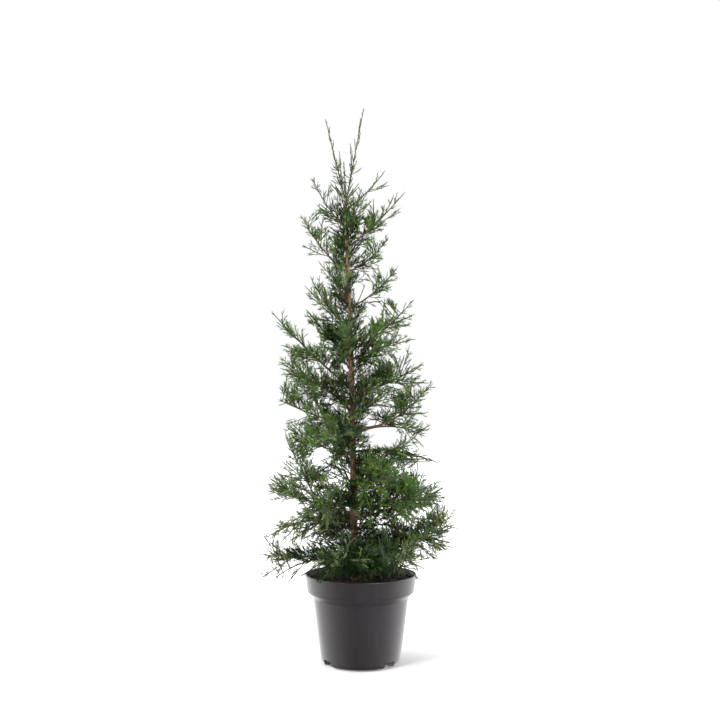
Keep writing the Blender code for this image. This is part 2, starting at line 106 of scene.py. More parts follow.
# Sizes of the pot. BAND_CURL, BODY_TOP_EASE and the two lip feet are steps (inward, down), the curl in
# shares of the band's step; CORNER_CURL is (out, up) in shares of the corner; LIP_ARC is degrees from
# and to, and its steps.
POT_HEIGHT = 0.170
RIM_RADIUS = 0.110
LIP_HEIGHT = 0.0030
LIP_ROUND = 0.0010
LIP_ARC = (-50, 100, 7)
LIP_FOOT = (0.0002, 0.0006)
LIP_INSIDE = 0.0004
LIP_INNER_FOOT = (0.0003, 0.0030)
BAND_HEIGHT = 0.031
BAND_FOOT_RADIUS = 0.1052
BAND_STEP_HEIGHT = 0.013
BAND_CURL = (
    (0.0, 0.02), (0.03, 0.10), (0.10, 0.20), (0.22, 0.32), (0.38, 0.45), (0.54, 0.58), (0.68, 0.70),
    (0.82, 0.83), (0.94, 0.94),
)
BODY_TOP_RADIUS = 0.0935
BODY_TOP_EASE = (0.0003, 0.0030)
BODY_FOOT_RADIUS = 0.0783
UNDERSIDE_RADIUS = 0.066
CORNER_HEIGHT = 0.010
CORNER_CURL = ((0.32, 0.03), (0.55, 0.12), (0.74, 0.26), (0.87, 0.45), (0.96, 0.70))
WALL = 0.0022
POT_FLOOR = 0.0148
INNER_FLOOR_RADIUS = 0.064
INNER_SLOPE_TOP = 0.030
POT_SIDES = 128
POT_SMOOTH_ANGLE = 38
NOTCH_TURNS = (214.5, 315.5, 34.5, 135.5)
NOTCH_WIDTH = 0.0285
NOTCH_HEIGHT = 0.0125
NOTCH_INNER_RADIUS = 0.050
NOTCH_DEPTH = 0.035
NOTCH_FLARE = 0.15
NOTCH_ROUND = 0.003

# Sizes of the soil: its edge is steps (inward, down), and its lumps are (size, height). They fade out
# towards the pot's wall, down to a least share.
SOIL_TOP = POT_HEIGHT - 0.009
SOIL_SIDES = 96
SOIL_RINGS = 46
SOIL_WALL_GAP = 0.0006
SOIL_EDGE = ((0.0040, 0.018), (0.0015, 0.010))
SOIL_SINK = 0.0028
LUMPS = ((0.030, 0.0035), (0.007, 0.0038), (0.0028, 0.0022))
LUMPS_FADE = 0.004
LUMPS_LEAST = 0.15
LUMPS_LEVEL = 0.45

# Crumbs on the soil: their sizes are the least and what the largest have over it
CRUMBS = 1500
CRUMB_KINDS = 3
CRUMB_FORM = (1.5, 0.9, 0.6)
CRUMB_OFFSET = 0.35
CRUMB_SWELL = 0.3
CRUMB_SIZES = (0.0009, 0.0022)
CRUMB_EDGE_GAP = 0.004
CRUMB_LIFT = 0.2
CRUMB_SEED = 7
ABOVE_POT = POT_HEIGHT + 0.02

# Sizes of the trunk
TRUNK_FOOT = SOIL_TOP + 0.0003
TRUNK_BURIED = 0.004
TRUNK_TOP = 0.918
TRUNK_FOOT_X = -0.0118
TRUNK_LEAN = -0.0187
TRUNK_BOW = 0.0028
TRUNK_WAVE = 0.0025
TRUNK_FOOT_RADIUS = 0.0078
TRUNK_TOP_RADIUS = 0.0028
FLARE = 0.0055
FLARE_HEIGHT = 0.012
TRUNK_RINGS = 110
TRUNK_RING_CROWDING = 1.2
TRUNK_SIDES = 18

# Relief of the bark as (name, size, stretch along Z, depth), and the share of a bough's reach, or the
# distance on a leader, from which its bark is young
BARK_PLATES = ("plates", 0.0045, 5, 0.0020)
BARK_FIBRES = ("fibres", 0.0014, 9, 0.0009)
BOUGH_STRIPS = ("bough_strips", 0.0022, 1.5, 0.0010)
YOUNG_FROM = 0.5
YOUNG_LEADER_FROM = 0.02

# The bough's wood
LIMB_LEAST_RADIUS = 0.0008
LIMB_GROWTH = 0.012
LIMB_TAPER = 0.9
LIMB_STEPS = 26

# The source's rule for side twigs: their number, places, turns and leans in degrees and their reach
GUIDE_STEPS = 12
SPRAY_SPACING = 0.030
FEWEST_SPRAYS = 3
FIRST_SPRAY = 0.12
LAST_SPRAY = 0.88
SPRAY_PLACE = 0.35
SPRAY_PLACE_SPREAD = 0.30
SPRAY_TURN = 137.5
SPRAY_TURN_SPREAD = 40
TURNS_TRIED = 4
SPRAY_LEAN = 52
SPRAY_LEAN_DROP = 16
SPRAY_RISE = 0.22
PLUME_FOOT = 0.78
PLUME_GROWTH = 0.98
PLUME_TAPER = 0.75

# The source's rule for the space of each mass: margins to the neighbours, to wood and to the pot
SPACE_MARGIN = 0.0025
LIMB_MARGIN = 0.002
RIM_INSIDE = 0.095
NEIGHBOUR_REACH = 0.45
TESTED_SHARES = (0.35, 0.7, 1.0)
TESTED_PARTS = np.array(TESTED_SHARES)[:, None]
POINTS_AT_ONCE = 2048
TINY = 1e-9

# Crown rule for the boughs that face the show side and the back
CROWN_FOOT = 0.20
CROWN_REACH = 0.165
CROWN_TAPER = 0.165
CROWN_RISE = 0.015
CROWN_RISE_GROWTH = 0.11
CROWN_SAG = 0.006
CROWN_GIRTH = 0.076
CROWN_GIRTH_TAPER = 0.052

# Finer side twigs between the source's: their reach is a share of the full one and loses a share with
# each try, and their rise grows with the height
FINE_TWIG_SPACING = 0.0078
FINE_TWIG_REACH = (0.45, 1.05)
LAST_FINE_TWIG = 0.86
FINE_RISE = -0.14
FINE_RISE_GROWTH = 0.48
FULL_REACH = 0.25
SHORTER = 0.85

# Masses of less than this girth are slim: their twigs lean less and are shorter and farther apart
SLIM_GIRTH = 0.030
SLIM_LEAN = 0.50
SLIM_TWIG_SPACING = 0.022
SLIM_TWIGLET = 0.30
SLIM_REACH = (0.004, 0.009)

# Shoots from the trunk, within the crown and round its upper end; turns and rises are in degrees, and
# the reach is a share of the crown's width within it and metres at the top
INNER_SHOOTS = 250
INNER_HEIGHTS = (0.170, 0.900)
INNER_CROWDING = 1.35
INNER_TURN_SPREAD = 25
INNER_RISE = (8, 48)
INNER_RISE_SPREAD = 14
INNER_REACH = (0.32, 0.70)
TOP_SHOOTS = 46
TOP_HEIGHTS = (0.775, 0.945)
TOP_RISE = (30, 62)
TOP_REACH = (0.022, 0.050)
SHOOT_MIDDLE = 0.6

# Heights between which the trunk shows, and the growth that is kept before it
SHOWN_TRUNK = ((0.245, 0.295), (0.361, 0.403), (0.486, 0.508), (0.525, 0.553), (0.571, 0.590))
SHOWN_TRUNK_HALF = 0.010
SHOWN_TRUNK_CHANCE = 0.30

# How far fine growth reaches into its neighbours' space, as margins below zero
FINE_MARGIN = -0.012
SPRAY_MARGIN = -0.018
ANYWHERE = -1.0

# Twiglets along the twigs and the boughs' own stems: shares are places along them, leans are in
# degrees, parts are reaches as shares of the twig's reach or the mass's girth
FAN_SPREAD = 0.5
CURL = (-0.08, 0.08)
CURL_GROWTH = 0.25
TWIGLET_SPACING = 0.0085
TWIGLET_SHARES = (0.10, 0.90)
TWIGLET_LEANS = (28, 48)
TWIGLET_PART = 0.62
TWIGLET_SHORTENING = 1.10
TWIGLET_REACH = (0.010, 0.038)
TWIGLET_SPREAD = (0.7, 1.15)
STEM_TWIGLET_PART = 0.6
STEM_TWIGLET_LEAST = 0.5
SLIM_STEM_TWIGLET_PART = 0.4

# Sprays along the twiglets and at the ends of all growth
SPRAY_STEP = 0.0075
SPRAY_SHARES = (0.12, 0.95)
SPRAY_LEANS = (26, 46)
SPRAY_LIFT = 0.06
SPRAY_PART = 0.6
SPRAY_SHORTENING = 1.15
SPRAY_LENGTHS = (0.008, 0.019)
SPRAY_SPREAD = (0.8, 1.2)
SPRAY_SIZE = 0.016
SPRAY_SLIMNESS = 0.7
SPRAY_BEND = (-0.08, 0.15)
TIP_SPRAY_PART = 0.75
TIP_SPRAY_OVERLAP = 0.7
TWIGLET_TIPS = (0.010, 0.018)
SLIM_TIPS = (0.006, 0.014)
TWIG_TIPS = (0.016, 0.030)
BOUGH_TIPS = (0.016, 0.024)

# Wood of twigs and twiglets: least radius, what it gains with the reach, share at the tip and rings
TWIG_WOOD = (0.0006, 0.010, 0.5, 5)
TWIGLET_WOOD = (0.0006, 0.006, 0.6, 3)

# Triangles in a piece of foliage at the most, and how readily one more piece is made
PIECE_TRIANGLES = 190000
PIECE_SPARE = 0.3
FOLIAGE_SEED = 11

# The three kinds of spray: name, side cords, thickness, lean of the cords to the axis, their turn out
# of the fan's plane and the lengths of the lowest and the highest cord
LACE, TUFT, WHIP = range(3)
LACE_CHANCE = 0.6
SPRAY_KINDS = (
    ("lace_spray", 9, 0.00066, 40, 25, (0.0062, 0.0030)),
    ("tuft_spray", 10, 0.00064, 48, 80, (0.0056, 0.0030)),
    ("whip_spray", 8, 0.00072, 24, 80, (0.0036, 0.0024)),
)

# How a spray is made: the middle of its axis, and its cords' places, girth, leans and lengths
SPRAY_MIDDLE = 0.55
SPRAY_MIDDLE_GIRTH = 0.8
FIRST_CORD = 0.06
CORDS_SHARE = 0.84
CORD_GIRTH = 0.92
CORD_LEAN = 1.1
CORD_LEAN_DROP = 0.25
CORD_LEAN_SPREAD = 10
CORD_REACH_SPREAD = (0.8, 0.4)

# How full some masses are beside the rest, where their side twigs start to shorten towards the tip,
# and where their foliage starts: shares of the bough's length
FULLNESS = {
    "left_09": 0.45, "left_12": 0.70, "right_13": 0.7, "right_10": 0.8, "right_07": 1.3, "right_05": 1.2,
    "right_06": 1.2, "right_11": 1.6, "right_12": 0.6, "right_09": 0.8, "front_05": 0.6, "front_04": 0.8,
}
TIPS_FROM = 0.60
TIP_SLIMNESS = 0.70
TIP_FROM = {"right_13": 0.35, "right_12": 0.40, "left_12": 0.40, "left_13": 0.40, "left_09": 0.40}
LEAFY_FROM = {"right_05": 0.14, "right_07": 0.24, "right_11": 0.40}

# Open gaps through the crown: left, right, foot, top and the share of the growth that is kept there
GAPS = (
    (0.018, 0.070, 0.418, 0.460, 0.0),
    (-0.121, -0.094, 0.680, 0.745, 0.5),
    (0.024, 0.070, 0.690, 0.715, 0.5),
    (0.058, 0.090, 0.678, 0.714, 0.3),
    (0.112, 0.150, 0.316, 0.354, 0.45),
    (0.125, 0.160, 0.262, 0.292, 0.5),
    (0.056, 0.088, 0.888, 0.925, 0.15),
    (0.090, 0.130, 0.385, 0.445, 0.35),
    (-0.200, -0.126, 0.282, 0.316, 0.0),
    (-0.090, -0.062, 0.390, 0.412, 0.0),
    (-0.160, -0.120, 0.472, 0.502, 0.0),
    (-0.014, 0.024, 0.708, 0.745, 0.0),
    (0.060, 0.130, 0.602, 0.650, 0.35),
    (-0.150, -0.094, 0.145, 0.200, 0.1),
    (-0.185, -0.150, 0.150, 0.200, 0.4),
    (-0.121, -0.070, 0.322, 0.350, 0.6),
    (0.080, 0.125, 0.165, 0.206, 0.3),
    (0.022, 0.060, 0.860, 0.930, 0.35),
    (0.024, 0.060, 0.752, 0.790, 0.35),
    (-0.092, -0.062, 0.770, 0.810, 0.35),
    (0.086, 0.125, 0.560, 0.594, 0.3),
    (-0.155, -0.122, 0.380, 0.446, 0.5),
    (0.112, 0.150, 0.380, 0.446, 0.4),
    (-0.002, 0.050, 0.440, 0.475, 0.4),
    (-0.185, -0.150, 0.645, 0.685, 0.4),
    (-0.092, -0.064, 0.900, 0.960, 0.35),
    (-0.010, 0.030, 0.872, 0.930, 0.6),
)

# Places in the crown that are closed by more shoots: left, right, foot, top, shoots
FILLS = (
    (-0.002, 0.028, 0.815, 0.895, 44),
    (0.018, 0.058, 0.700, 0.740, 22),
    (0.028, 0.060, 0.561, 0.631, 32),
    (0.058, 0.088, 0.501, 0.535, 18),
    (0.052, 0.092, 0.345, 0.405, 42),
    (0.115, 0.148, 0.258, 0.292, 16),
    (0.028, 0.118, 0.200, 0.262, 56),
    (-0.091, -0.062, 0.352, 0.381, 16),
    (0.088, 0.125, 0.356, 0.381, 8),
    (0.000, 0.085, 0.654, 0.672, 12),
    (-0.062, -0.030, 0.800, 0.862, 16),
    (-0.060, -0.030, 0.925, 1.010, 24),
    (-0.025, 0.000, 0.930, 1.000, 14),
    (-0.095, -0.060, 0.525, 0.600, 16),
    (-0.151, -0.121, 0.495, 0.620, 22),
    (-0.091, -0.062, 0.616, 0.655, 16),
    (-0.062, -0.032, 0.555, 0.595, 14),
    (-0.062, -0.032, 0.680, 0.745, 22),
    (-0.032, -0.002, 0.650, 0.680, 12),
    (-0.121, -0.062, 0.590, 0.621, 14),
    (-0.062, -0.032, 0.470, 0.530, 12),
    (-0.091, -0.062, 0.840, 0.895, 14),
    (0.000, 0.045, 0.755, 0.800, 12),
    (-0.121, -0.094, 0.400, 0.440, 14),
    (0.058, 0.088, 0.276, 0.306, 16),
    (0.115, 0.165, 0.295, 0.325, 12),
    (-0.178, -0.125, 0.205, 0.232, 8),
    (0.046, 0.056, 0.925, 0.940, 2),
    (0.018, 0.070, 0.396, 0.414, 14),
    (0.018, 0.070, 0.462, 0.482, 12),
)

# Places that are closed by shoots before the trunk, on the show side
FRONT_FILLS = (
    (-0.040, 0.022, 0.408, 0.474, 30),
    (-0.034, 0.006, 0.303, 0.350, 20),
    (-0.036, 0.002, 0.508, 0.522, 6),
    (-0.036, 0.002, 0.555, 0.569, 6),
    (-0.036, 0.006, 0.594, 0.660, 18),
    (-0.020, 0.020, 0.212, 0.240, 10),
    (-0.045, 0.018, 0.164, 0.202, 34),
    (0.012, 0.075, 0.175, 0.245, 30),
)

# How far such a shoot reaches, how much it may fall and how far out in the crown it may end
FILL_DISTANCE = (0.012, 0.075)
FILL_RISE = -0.05
LOWEST_FILL_RISE = -0.85
FILL_DEPTH = 0.42
NEAREST_FRONT_FILL = -0.35

# Short whips on the leaders: owner, share of its length at the foot, the tip across and up
FORK_WHIPS = (
    ("leader_left", 0.02, -0.0345, 0.980),
    ("leader_left", 0.16, -0.0435, 1.003),
    ("leader_right", 0.36, -0.0216, 1.022),
)

# One bough and the mass of foliage on it: the height of its foot on the trunk, its turn, its reach
# from the trunk, the height of its tip, how far its middle sags under the straight line, the bare
# share of its length (0: the foliage starts at the trunk) and the girth of its foliage.
Bough = namedtuple("Bough", "name foot turn reach tip sag bare girth")

SHOWN_BOUGHS = (
    Bough("left_01", 0.191, 206, 0.165, 0.175, -0.020, 0.00, 0.052),
    Bough("left_02", 0.206, 180, 0.183, 0.206, 0.004, 0.27, 0.070),
    Bough("left_03", 0.251, 205, 0.178, 0.252, -0.026, 0.00, 0.065),
    Bough("left_04", 0.287, 166, 0.177, 0.337, 0.004, 0.25, 0.070),
    Bough("left_05", 0.225, 189, 0.136, 0.443, 0.030, 0.55, 0.065),
    Bough("left_06", 0.402, 216, 0.152, 0.456, 0.008, 0.00, 0.070),
    Bough("left_07", 0.458, 160, 0.159, 0.512, 0.004, 0.22, 0.065),
    Bough("left_08", 0.503, 204, 0.150, 0.591, 0.006, 0.00, 0.065),
    Bough("left_09", 0.533, 183, 0.158, 0.685, 0.006, 0.30, 0.055),
    Bough("left_10", 0.607, 160, 0.089, 0.689, 0.010, 0.00, 0.055),
    Bough("left_11", 0.656, 202, 0.082, 0.750, 0.014, 0.00, 0.055),
    Bough("left_12", 0.769, 188, 0.095, 0.880, 0.016, 0.00, 0.048),
    Bough("left_13", 0.859, 170, 0.071, 0.961, 0.012, 0.00, 0.034),
    Bough("right_01", 0.196, 325, 0.160, 0.193, -0.016, 0.00, 0.065),
    Bough("right_02", 0.225, 0, 0.198, 0.260, 0.006, 0.26, 0.075),
    Bough("right_03", 0.278, 24, 0.198, 0.330, 0.008, 0.27, 0.070),
    Bough("right_04", 0.303, 335, 0.178, 0.321, -0.004, 0.00, 0.075),
    Bough("right_05", 0.408, 350, 0.168, 0.388, -0.012, 0.30, 0.050),
    Bough("right_06", 0.443, 16, 0.150, 0.439, -0.018, 0.60, 0.042),
    Bough("right_07", 0.459, 355, 0.156, 0.544, 0.030, 0.52, 0.050),
    Bough("right_08", 0.521, 22, 0.155, 0.587, 0.008, 0.24, 0.060),
    Bough("right_09", 0.593, 325, 0.128, 0.630, 0.002, 0.00, 0.060),
    Bough("right_10", 0.611, 8, 0.125, 0.711, 0.012, 0.00, 0.048),
    Bough("right_11", 0.696, 2, 0.095, 0.776, 0.010, 0.00, 0.034),
    Bough("right_12", 0.770, 26, 0.088, 0.842, 0.010, 0.00, 0.040),
    Bough("right_13", 0.818, 330, 0.127, 0.912, 0.006, 0.00, 0.050),
    Bough("right_14", 0.896, 10, 0.077, 0.975, 0.006, 0.00, 0.026),
)
FRONT_TURNS = (258, 240, 300, 246, 302, 262, 238, 296)
FRONT_FEET = (0.208, 0.303, 0.343, 0.428, 0.483, 0.593, 0.702, 0.832)
BACK_TURNS = (68, 116, 62, 118, 76, 114, 70, 108)
BACK_FEET = (0.213, 0.265, 0.348, 0.418, 0.503, 0.593, 0.682, 0.772)
LEADERS = (
    Bough("leader_left", 0.910, 178, 0.041, 1.080, 0.0, 0.00, 0.022),
    Bough("leader_right", 0.910, 350, 0.036, 1.100, 0.0, 0.00, 0.022),
)

# Masses with the fresh yellow-green sprays of new growth
FRESH_MASSES = (
    "left_06", "left_09", "right_04", "right_09", "right_10", "right_12", "right_13", "front_03",
)

# Zones of the crown for its greens: heights, shares of the crown's width and places across
WHIP_HEIGHT = 0.90
LOWER_CROWN = 0.470
OPENER_MIDDLE = (0.330, 0.470)
LIT_HEIGHT = 0.280
LOW_GROWTH = 0.250
LOWEST_GROWTH = 0.215
FRESH_RING = (0.25, 0.85)
HEART = 0.50
SHELL = 0.62
FOOT_SHELL = 0.75
AT_TRUNK = 0.32
LIT_ASIDE = 0.015
LIT_FRONT = -0.020

# How the greens are dealt to twiglets, rule after rule: the zone, the span of chance in which the
# rule holds, the green that it gives and, where it is not for all, the green that it replaces
# The deep green is also painted shade: besides its share at random, it goes to the crown's heart, its low
# growth and its foot by the trunk, where shade falls; the lit rows put lighter greens in its place there
DEEP_AND_SHADE, MID, FRESH, COOL, PALE = range(5)
TONE_RULES = (
    ("anywhere", 0.00, 0.50, MID),
    ("anywhere", 0.50, 0.74, COOL),
    ("anywhere", 0.74, 0.86, DEEP_AND_SHADE),
    ("anywhere", 0.86, 1.00, PALE),
    ("fresh ring", 0.30, 1.00, FRESH),
    ("plain", 0.00, 0.12, FRESH),
    ("lower crown", 0.12, 0.22, COOL),
    ("lower shell", 0.45, 0.66, COOL),
    ("lower shell", 0.66, 1.00, PALE),
    ("upper crown", 0.00, 0.64, MID, COOL),
    ("opener heart", 0.00, 0.50, DEEP_AND_SHADE),
    ("heart", 0.00, 0.84, DEEP_AND_SHADE),
    ("low", 0.00, 0.32, DEEP_AND_SHADE),
    ("low inside", 0.55, 1.00, COOL),
    ("foot right", 0.00, 0.62, DEEP_AND_SHADE),
    ("foot left", 0.00, 0.90, DEEP_AND_SHADE),
    ("foot at trunk", 0.00, 0.90, DEEP_AND_SHADE),
    ("lit", 0.00, 0.25, COOL, DEEP_AND_SHADE),
    ("lit", 0.25, 0.80, MID, DEEP_AND_SHADE),
    ("whips", 0.00, 0.50, COOL),
)

# Kinds of finish: the roughness, or a pair of them that follows the mottle; the mottle as (scale,
# stretch, low, high); and the grain as (scale, stretch, strength, depth)
PLASTIC = ((0.28, 0.32), (16.0, (1, 1, 0.15), 0.35, 0.65), (900.0, (1, 1, 1), 0.12, 0.0003))
PEAT = (0.95, (160.0, (1, 1, 1), 0.35, 0.70), (700.0, (1, 1, 1), 0.8, 0.002))
BARK = (0.82, (260.0, (1, 1, 0.16), 0.36, 0.62), (420.0, (1, 1, 0.2), 0.9, 0.0012))
LEAF = (0.55, (120.0, (1, 1, 1), 0.35, 0.65), (1500.0, (1, 1, 1), 0.5, 0.0004))
PLAIN_SHEEN = 0.5
PLASTIC_SHEEN = 0.42

# The dark and the light tone of each material
TONES = {
    "pot_plastic": ((0.0135, 0.0105, 0.0130), (0.0220, 0.0175, 0.0210)),
    "peat": ((0.011, 0.007, 0.005), (0.040, 0.024, 0.016)),
    "crumb_dark": ((0.012, 0.007, 0.005), (0.035, 0.020, 0.013)),
    "bark": ((0.092, 0.046, 0.027), (0.350, 0.195, 0.112)),
    # The boughs' bark is darker than the trunk's, partly its own tone and partly painted shade under the
    # sprays
    "limb_bark": ((0.050, 0.030, 0.020), (0.170, 0.105, 0.070)),
    "young_wood": ((0.034, 0.036, 0.012), (0.078, 0.080, 0.026)),
    # The deep green is also the painted shade of the crown's heart and foot
    "leaf_deep": ((0.006, 0.019, 0.005), (0.015, 0.038, 0.009)),
    "leaf_mid": ((0.031, 0.084, 0.011), (0.062, 0.128, 0.018)),
    "leaf_fresh": ((0.068, 0.156, 0.020), (0.121, 0.222, 0.034)),
    "leaf_cool": ((0.038, 0.078, 0.036), (0.088, 0.144, 0.066)),
    "leaf_pale": ((0.118, 0.180, 0.050), (0.200, 0.264, 0.092)),
}

# The leaves' materials and their sheen, in the order of the greens; the deep green, also painted shade, has
# the least sheen
LEAVES = (
    ("leaf_deep", 0.05), ("leaf_mid", 0.14), ("leaf_fresh", 0.14), ("leaf_cool", 0.14), ("leaf_pale", 0.14),
)


# Small helpers


def between(ends, share):
    return ends[0] + (ends[1] - ends[0]) * share


def within(values, least, most):
    return (values > least) & (values < most)


def deselect():
    if bpy.context.object is not None and bpy.context.object.mode != "OBJECT":
        bpy.ops.object.mode_set(mode="OBJECT")
    bpy.ops.object.select_all(action="DESELECT")


def pick(thing):
    deselect()
    thing.select_set(True)
    bpy.context.view_layer.objects.active = thing


def edit_all(thing):
    pick(thing)
    bpy.ops.object.mode_set(mode="EDIT")
    bpy.ops.mesh.select_all(action="SELECT")


def leave_edit():
    bpy.ops.object.mode_set(mode="OBJECT")


def apply_all(thing):
    pick(thing)
    for modifier in list(thing.modifiers):
        bpy.ops.object.modifier_apply(modifier=modifier.name)


def settle(thing):
    """Puts the object's place, turn and scale into its mesh."""
    pick(thing)
    bpy.ops.object.transform_apply(location=True, rotation=True, scale=True)


def joined(things, name):
    deselect()
    for thing in things:
        thing.select_set(True)
    bpy.context.view_layer.objects.active = things[0]
    bpy.ops.object.join()
    things[0].name = name
    things[0].data.name = name
    return things[0]


def set_all(thing, settings):
    for name, value in settings.items():
        setattr(thing, name, value)


def new_disc(name, sides, radius, place, fill_type="NGON", rotation=(0, 0, 0)):
    deselect()
    bpy.ops.mesh.primitive_circle_add(
        vertices=sides, radius=radius, fill_type=fill_type, location=place, rotation=rotation
    )
    disc = bpy.context.object
    disc.name = name
    settle(disc)
    return disc


def draw_out(step, ratios, centre):
    """Extrudes what is selected in edit mode by a step and scales it about a centre."""
    bpy.ops.mesh.extrude_region_move(TRANSFORM_OT_translate={"value": step})
    bpy.ops.transform.resize(value=ratios, center_override=centre)


def cloud_relief(thing, name, size, depth, level, **settings):
    """Gives a thing a modifier that pushes its surface in and out by clouds."""
    clouds = bpy.data.textures.new(name, "CLOUDS")
    clouds.noise_scale = size
    relief = thing.modifiers.new(name, "DISPLACE")
    set_all(relief, {"texture": clouds, "mid_level": level, "strength": depth, **settings})


def finish_piece(piece, materials, nodes):
    """Gives a piece its materials and its body, and hides the nodes that it takes the place of."""
    piece.data.materials.clear()
    for material in materials:
        piece.data.materials.append(material)
    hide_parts(*nodes)
    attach(piece, BODY)


# Finishes


MOTTLE_NOISE = (5.0, 0.62)
GRAIN_NOISE = (6.0, 0.5)
MIX_FACTOR, MIX_A, MIX_B, MIXED = 0, 6, 7, 2


def fill(tree, node, inputs):
    """Gives a node's inputs, by name or number, values or the outputs of other nodes."""
    for label, given in inputs.items():
        if isinstance(given, bpy.types.NodeSocket):
            tree.links.new(given, node.inputs[label])
        else:
            node.inputs[label].default_value = given


def add(tree, kind, inputs, **settings):
    """A new shader node with its settings and inputs; returns its outputs."""
    node = tree.nodes.new("ShaderNode" + kind)
    set_all(node, settings)
    fill(tree, node, inputs)
    return node.outputs


def ramp(tree, value, span, target):
    """A value mapped from one span to another."""
    ends = dict(zip(("From Min", "From Max", "To Min", "To Max"), (*span, *target)))
    return add(tree, "MapRange", {"Value": value, **ends})["Result"]


def product(tree, one, other):
    return add(tree, "Math", {0: one, 1: other}, operation="MULTIPLY")[0]


def new_group(name, inputs, outputs):
    """A node group from (label, socket type) pairs; returns it, what it is given and its end node."""
    group = bpy.data.node_groups.new(name, "ShaderNodeTree")
    for way, sockets in (("INPUT", inputs), ("OUTPUT", outputs)):
        for label, kind in sockets:
            group.interface.new_socket(label, in_out=way, socket_type="NodeSocket" + kind)
    return group, group.nodes.new("NodeGroupInput").outputs, group.nodes.new("NodeGroupOutput")


def stretched_noise(tree, given, look):
    """Noise over the object's own space, drawn out by what the group is given as Stretch."""
    place = add(tree, "TexCoord", {})["Object"]
    drawn = add(tree, "VectorMath", {0: place, 1: given["Stretch"]}, operation="MULTIPLY")[0]
    noise = {"Vector": drawn, "Scale": given["Scale"], "Detail": look[0], "Roughness": look[1]}
    return add(tree, "TexNoise", noise)["Fac"]


MOTTLE_INPUTS = (
    ("Tone A", "Color"), ("Tone B", "Color"), ("Scale", "Float"), ("Stretch", "Vector"),
    ("Contrast Low", "Float"), ("Contrast High", "Float"),
)
GRAIN_INPUTS = (("Scale", "Float"), ("Stretch", "Vector"), ("Strength", "Float"), ("Depth", "Float"))


def make_mottle_group():
    """Two tones mixed by noise that can be drawn out along Z, as in fibrous bark or flowed plastic."""
    group, given, end = new_group("mottle", MOTTLE_INPUTS, (("Colour", "Color"), ("Mask", "Float")))
    noise = stretched_noise(group, given, MOTTLE_NOISE)
    band = ramp(group, noise, (given["Contrast Low"], given["Contrast High"]), (0, 1))
    tones = {MIX_FACTOR: band, MIX_A: given["Tone A"], MIX_B: given["Tone B"]}
    mixed = add(group, "Mix", tones, data_type="RGBA")[MIXED]
    fill(group, end, {"Colour": mixed, "Mask": band})
    return group


def make_grain_group():
    """A bumped normal from noise that can be drawn out along Z."""
    group, given, end = new_group("grain", GRAIN_INPUTS, (("Normal", "Vector"),))
    noise = stretched_noise(group, given, GRAIN_NOISE)
    relief = {"Height": noise, "Strength": given["Strength"], "Distance": given["Depth"]}
    fill(group, end, {"Normal": add(group, "Bump", relief)["Normal"]})
    return group


MOTTLE = make_mottle_group()
GRAIN = make_grain_group()


def surface(name, finish, sheen=PLAIN_SHEEN):
    """A material of two mottled tones with a fine grain."""
    roughness, mottle, grain = finish
    made = bpy.data.materials.new(name)
    made.use_nodes = True
    tree = made.node_tree
    colours = [(*tone, 1) for tone in TONES[name]]
    mottled = {label: value for (label, _), value in zip(MOTTLE_INPUTS, (*colours, *mottle))}
    grained = {label: value for (label, _), value in zip(GRAIN_INPUTS, grain)}
    tone = add(tree, "Group", mottled, node_tree=MOTTLE)
    relief = add(tree, "Group", grained, node_tree=GRAIN)
    if isinstance(roughness, tuple):
        roughness = ramp(tree, tone["Mask"], (0, 1), roughness)
    look = {"Base Color": tone["Colour"], "Roughness": roughness, "Normal": relief["Normal"]}
    fill(tree, tree.nodes["Principled BSDF"], {**look, "Specular IOR Level": sheen})
    made.diffuse_color = colours[0]
    return made


# Camera, floor and light


def stage_set():
    """A pale floor, a near-white surround and soft studio lights."""
    scene = bpy.context.scene
    scene.view_settings.view_transform = "Standard"
    make_camera(scene)
    make_floor()
    make_surround(scene)
    for lamp in LAMPS:
        softbox(scene, *lamp)


def make_camera(scene):
    camera = bpy.data.cameras.new("camera")
    camera.lens = CAMERA_LENS
    camera.clip_end = CAMERA_REACH
    stand = bpy.data.objects.new("camera", camera)
    stand.location = CAMERA_PLACE
    stand.rotation_euler = (math.radians(90 + CAMERA_PITCH), 0, 0)
    scene.collection.objects.link(stand)
    scene.camera = stand


def make_floor():
    floor = new_disc("floor", FLOOR_SIDES, FLOOR_RADIUS, (0, 0, FLOOR_LEVEL))
    floor.data.materials.append(pale_floor())
    floor.visible_glossy = False
    floor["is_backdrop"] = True


def pale_floor():
    """A near-white floor that glows more the farther it is, so that it meets the white surround."""
    made = bpy.data.materials.new("pale_floor")
    made.use_nodes = True
    tree = made.node_tree
    place = add(tree, "TexCoord", {})["Object"]
    away = add(tree, "VectorMath", {0: place}, operation="LENGTH")["Value"]
    glow = ramp(tree, away, FLOOR_GLOW_SPAN, (FLOOR_GLOW, 1))
    share = ramp(tree, add(tree, "LightPath", {})["Is Camera Ray"], (0, 1), (FLOOR_THROW, 1))
    look = {"Base Color": FLOOR_GREY, "Roughness": FLOOR_ROUGHNESS, "Specular IOR Level": FLOOR_SHEEN}
    look |= {"Emission Strength": product(tree, glow, share), "Emission Color": WHITE}
    fill(tree, tree.nodes["Principled BSDF"], look)
    return made


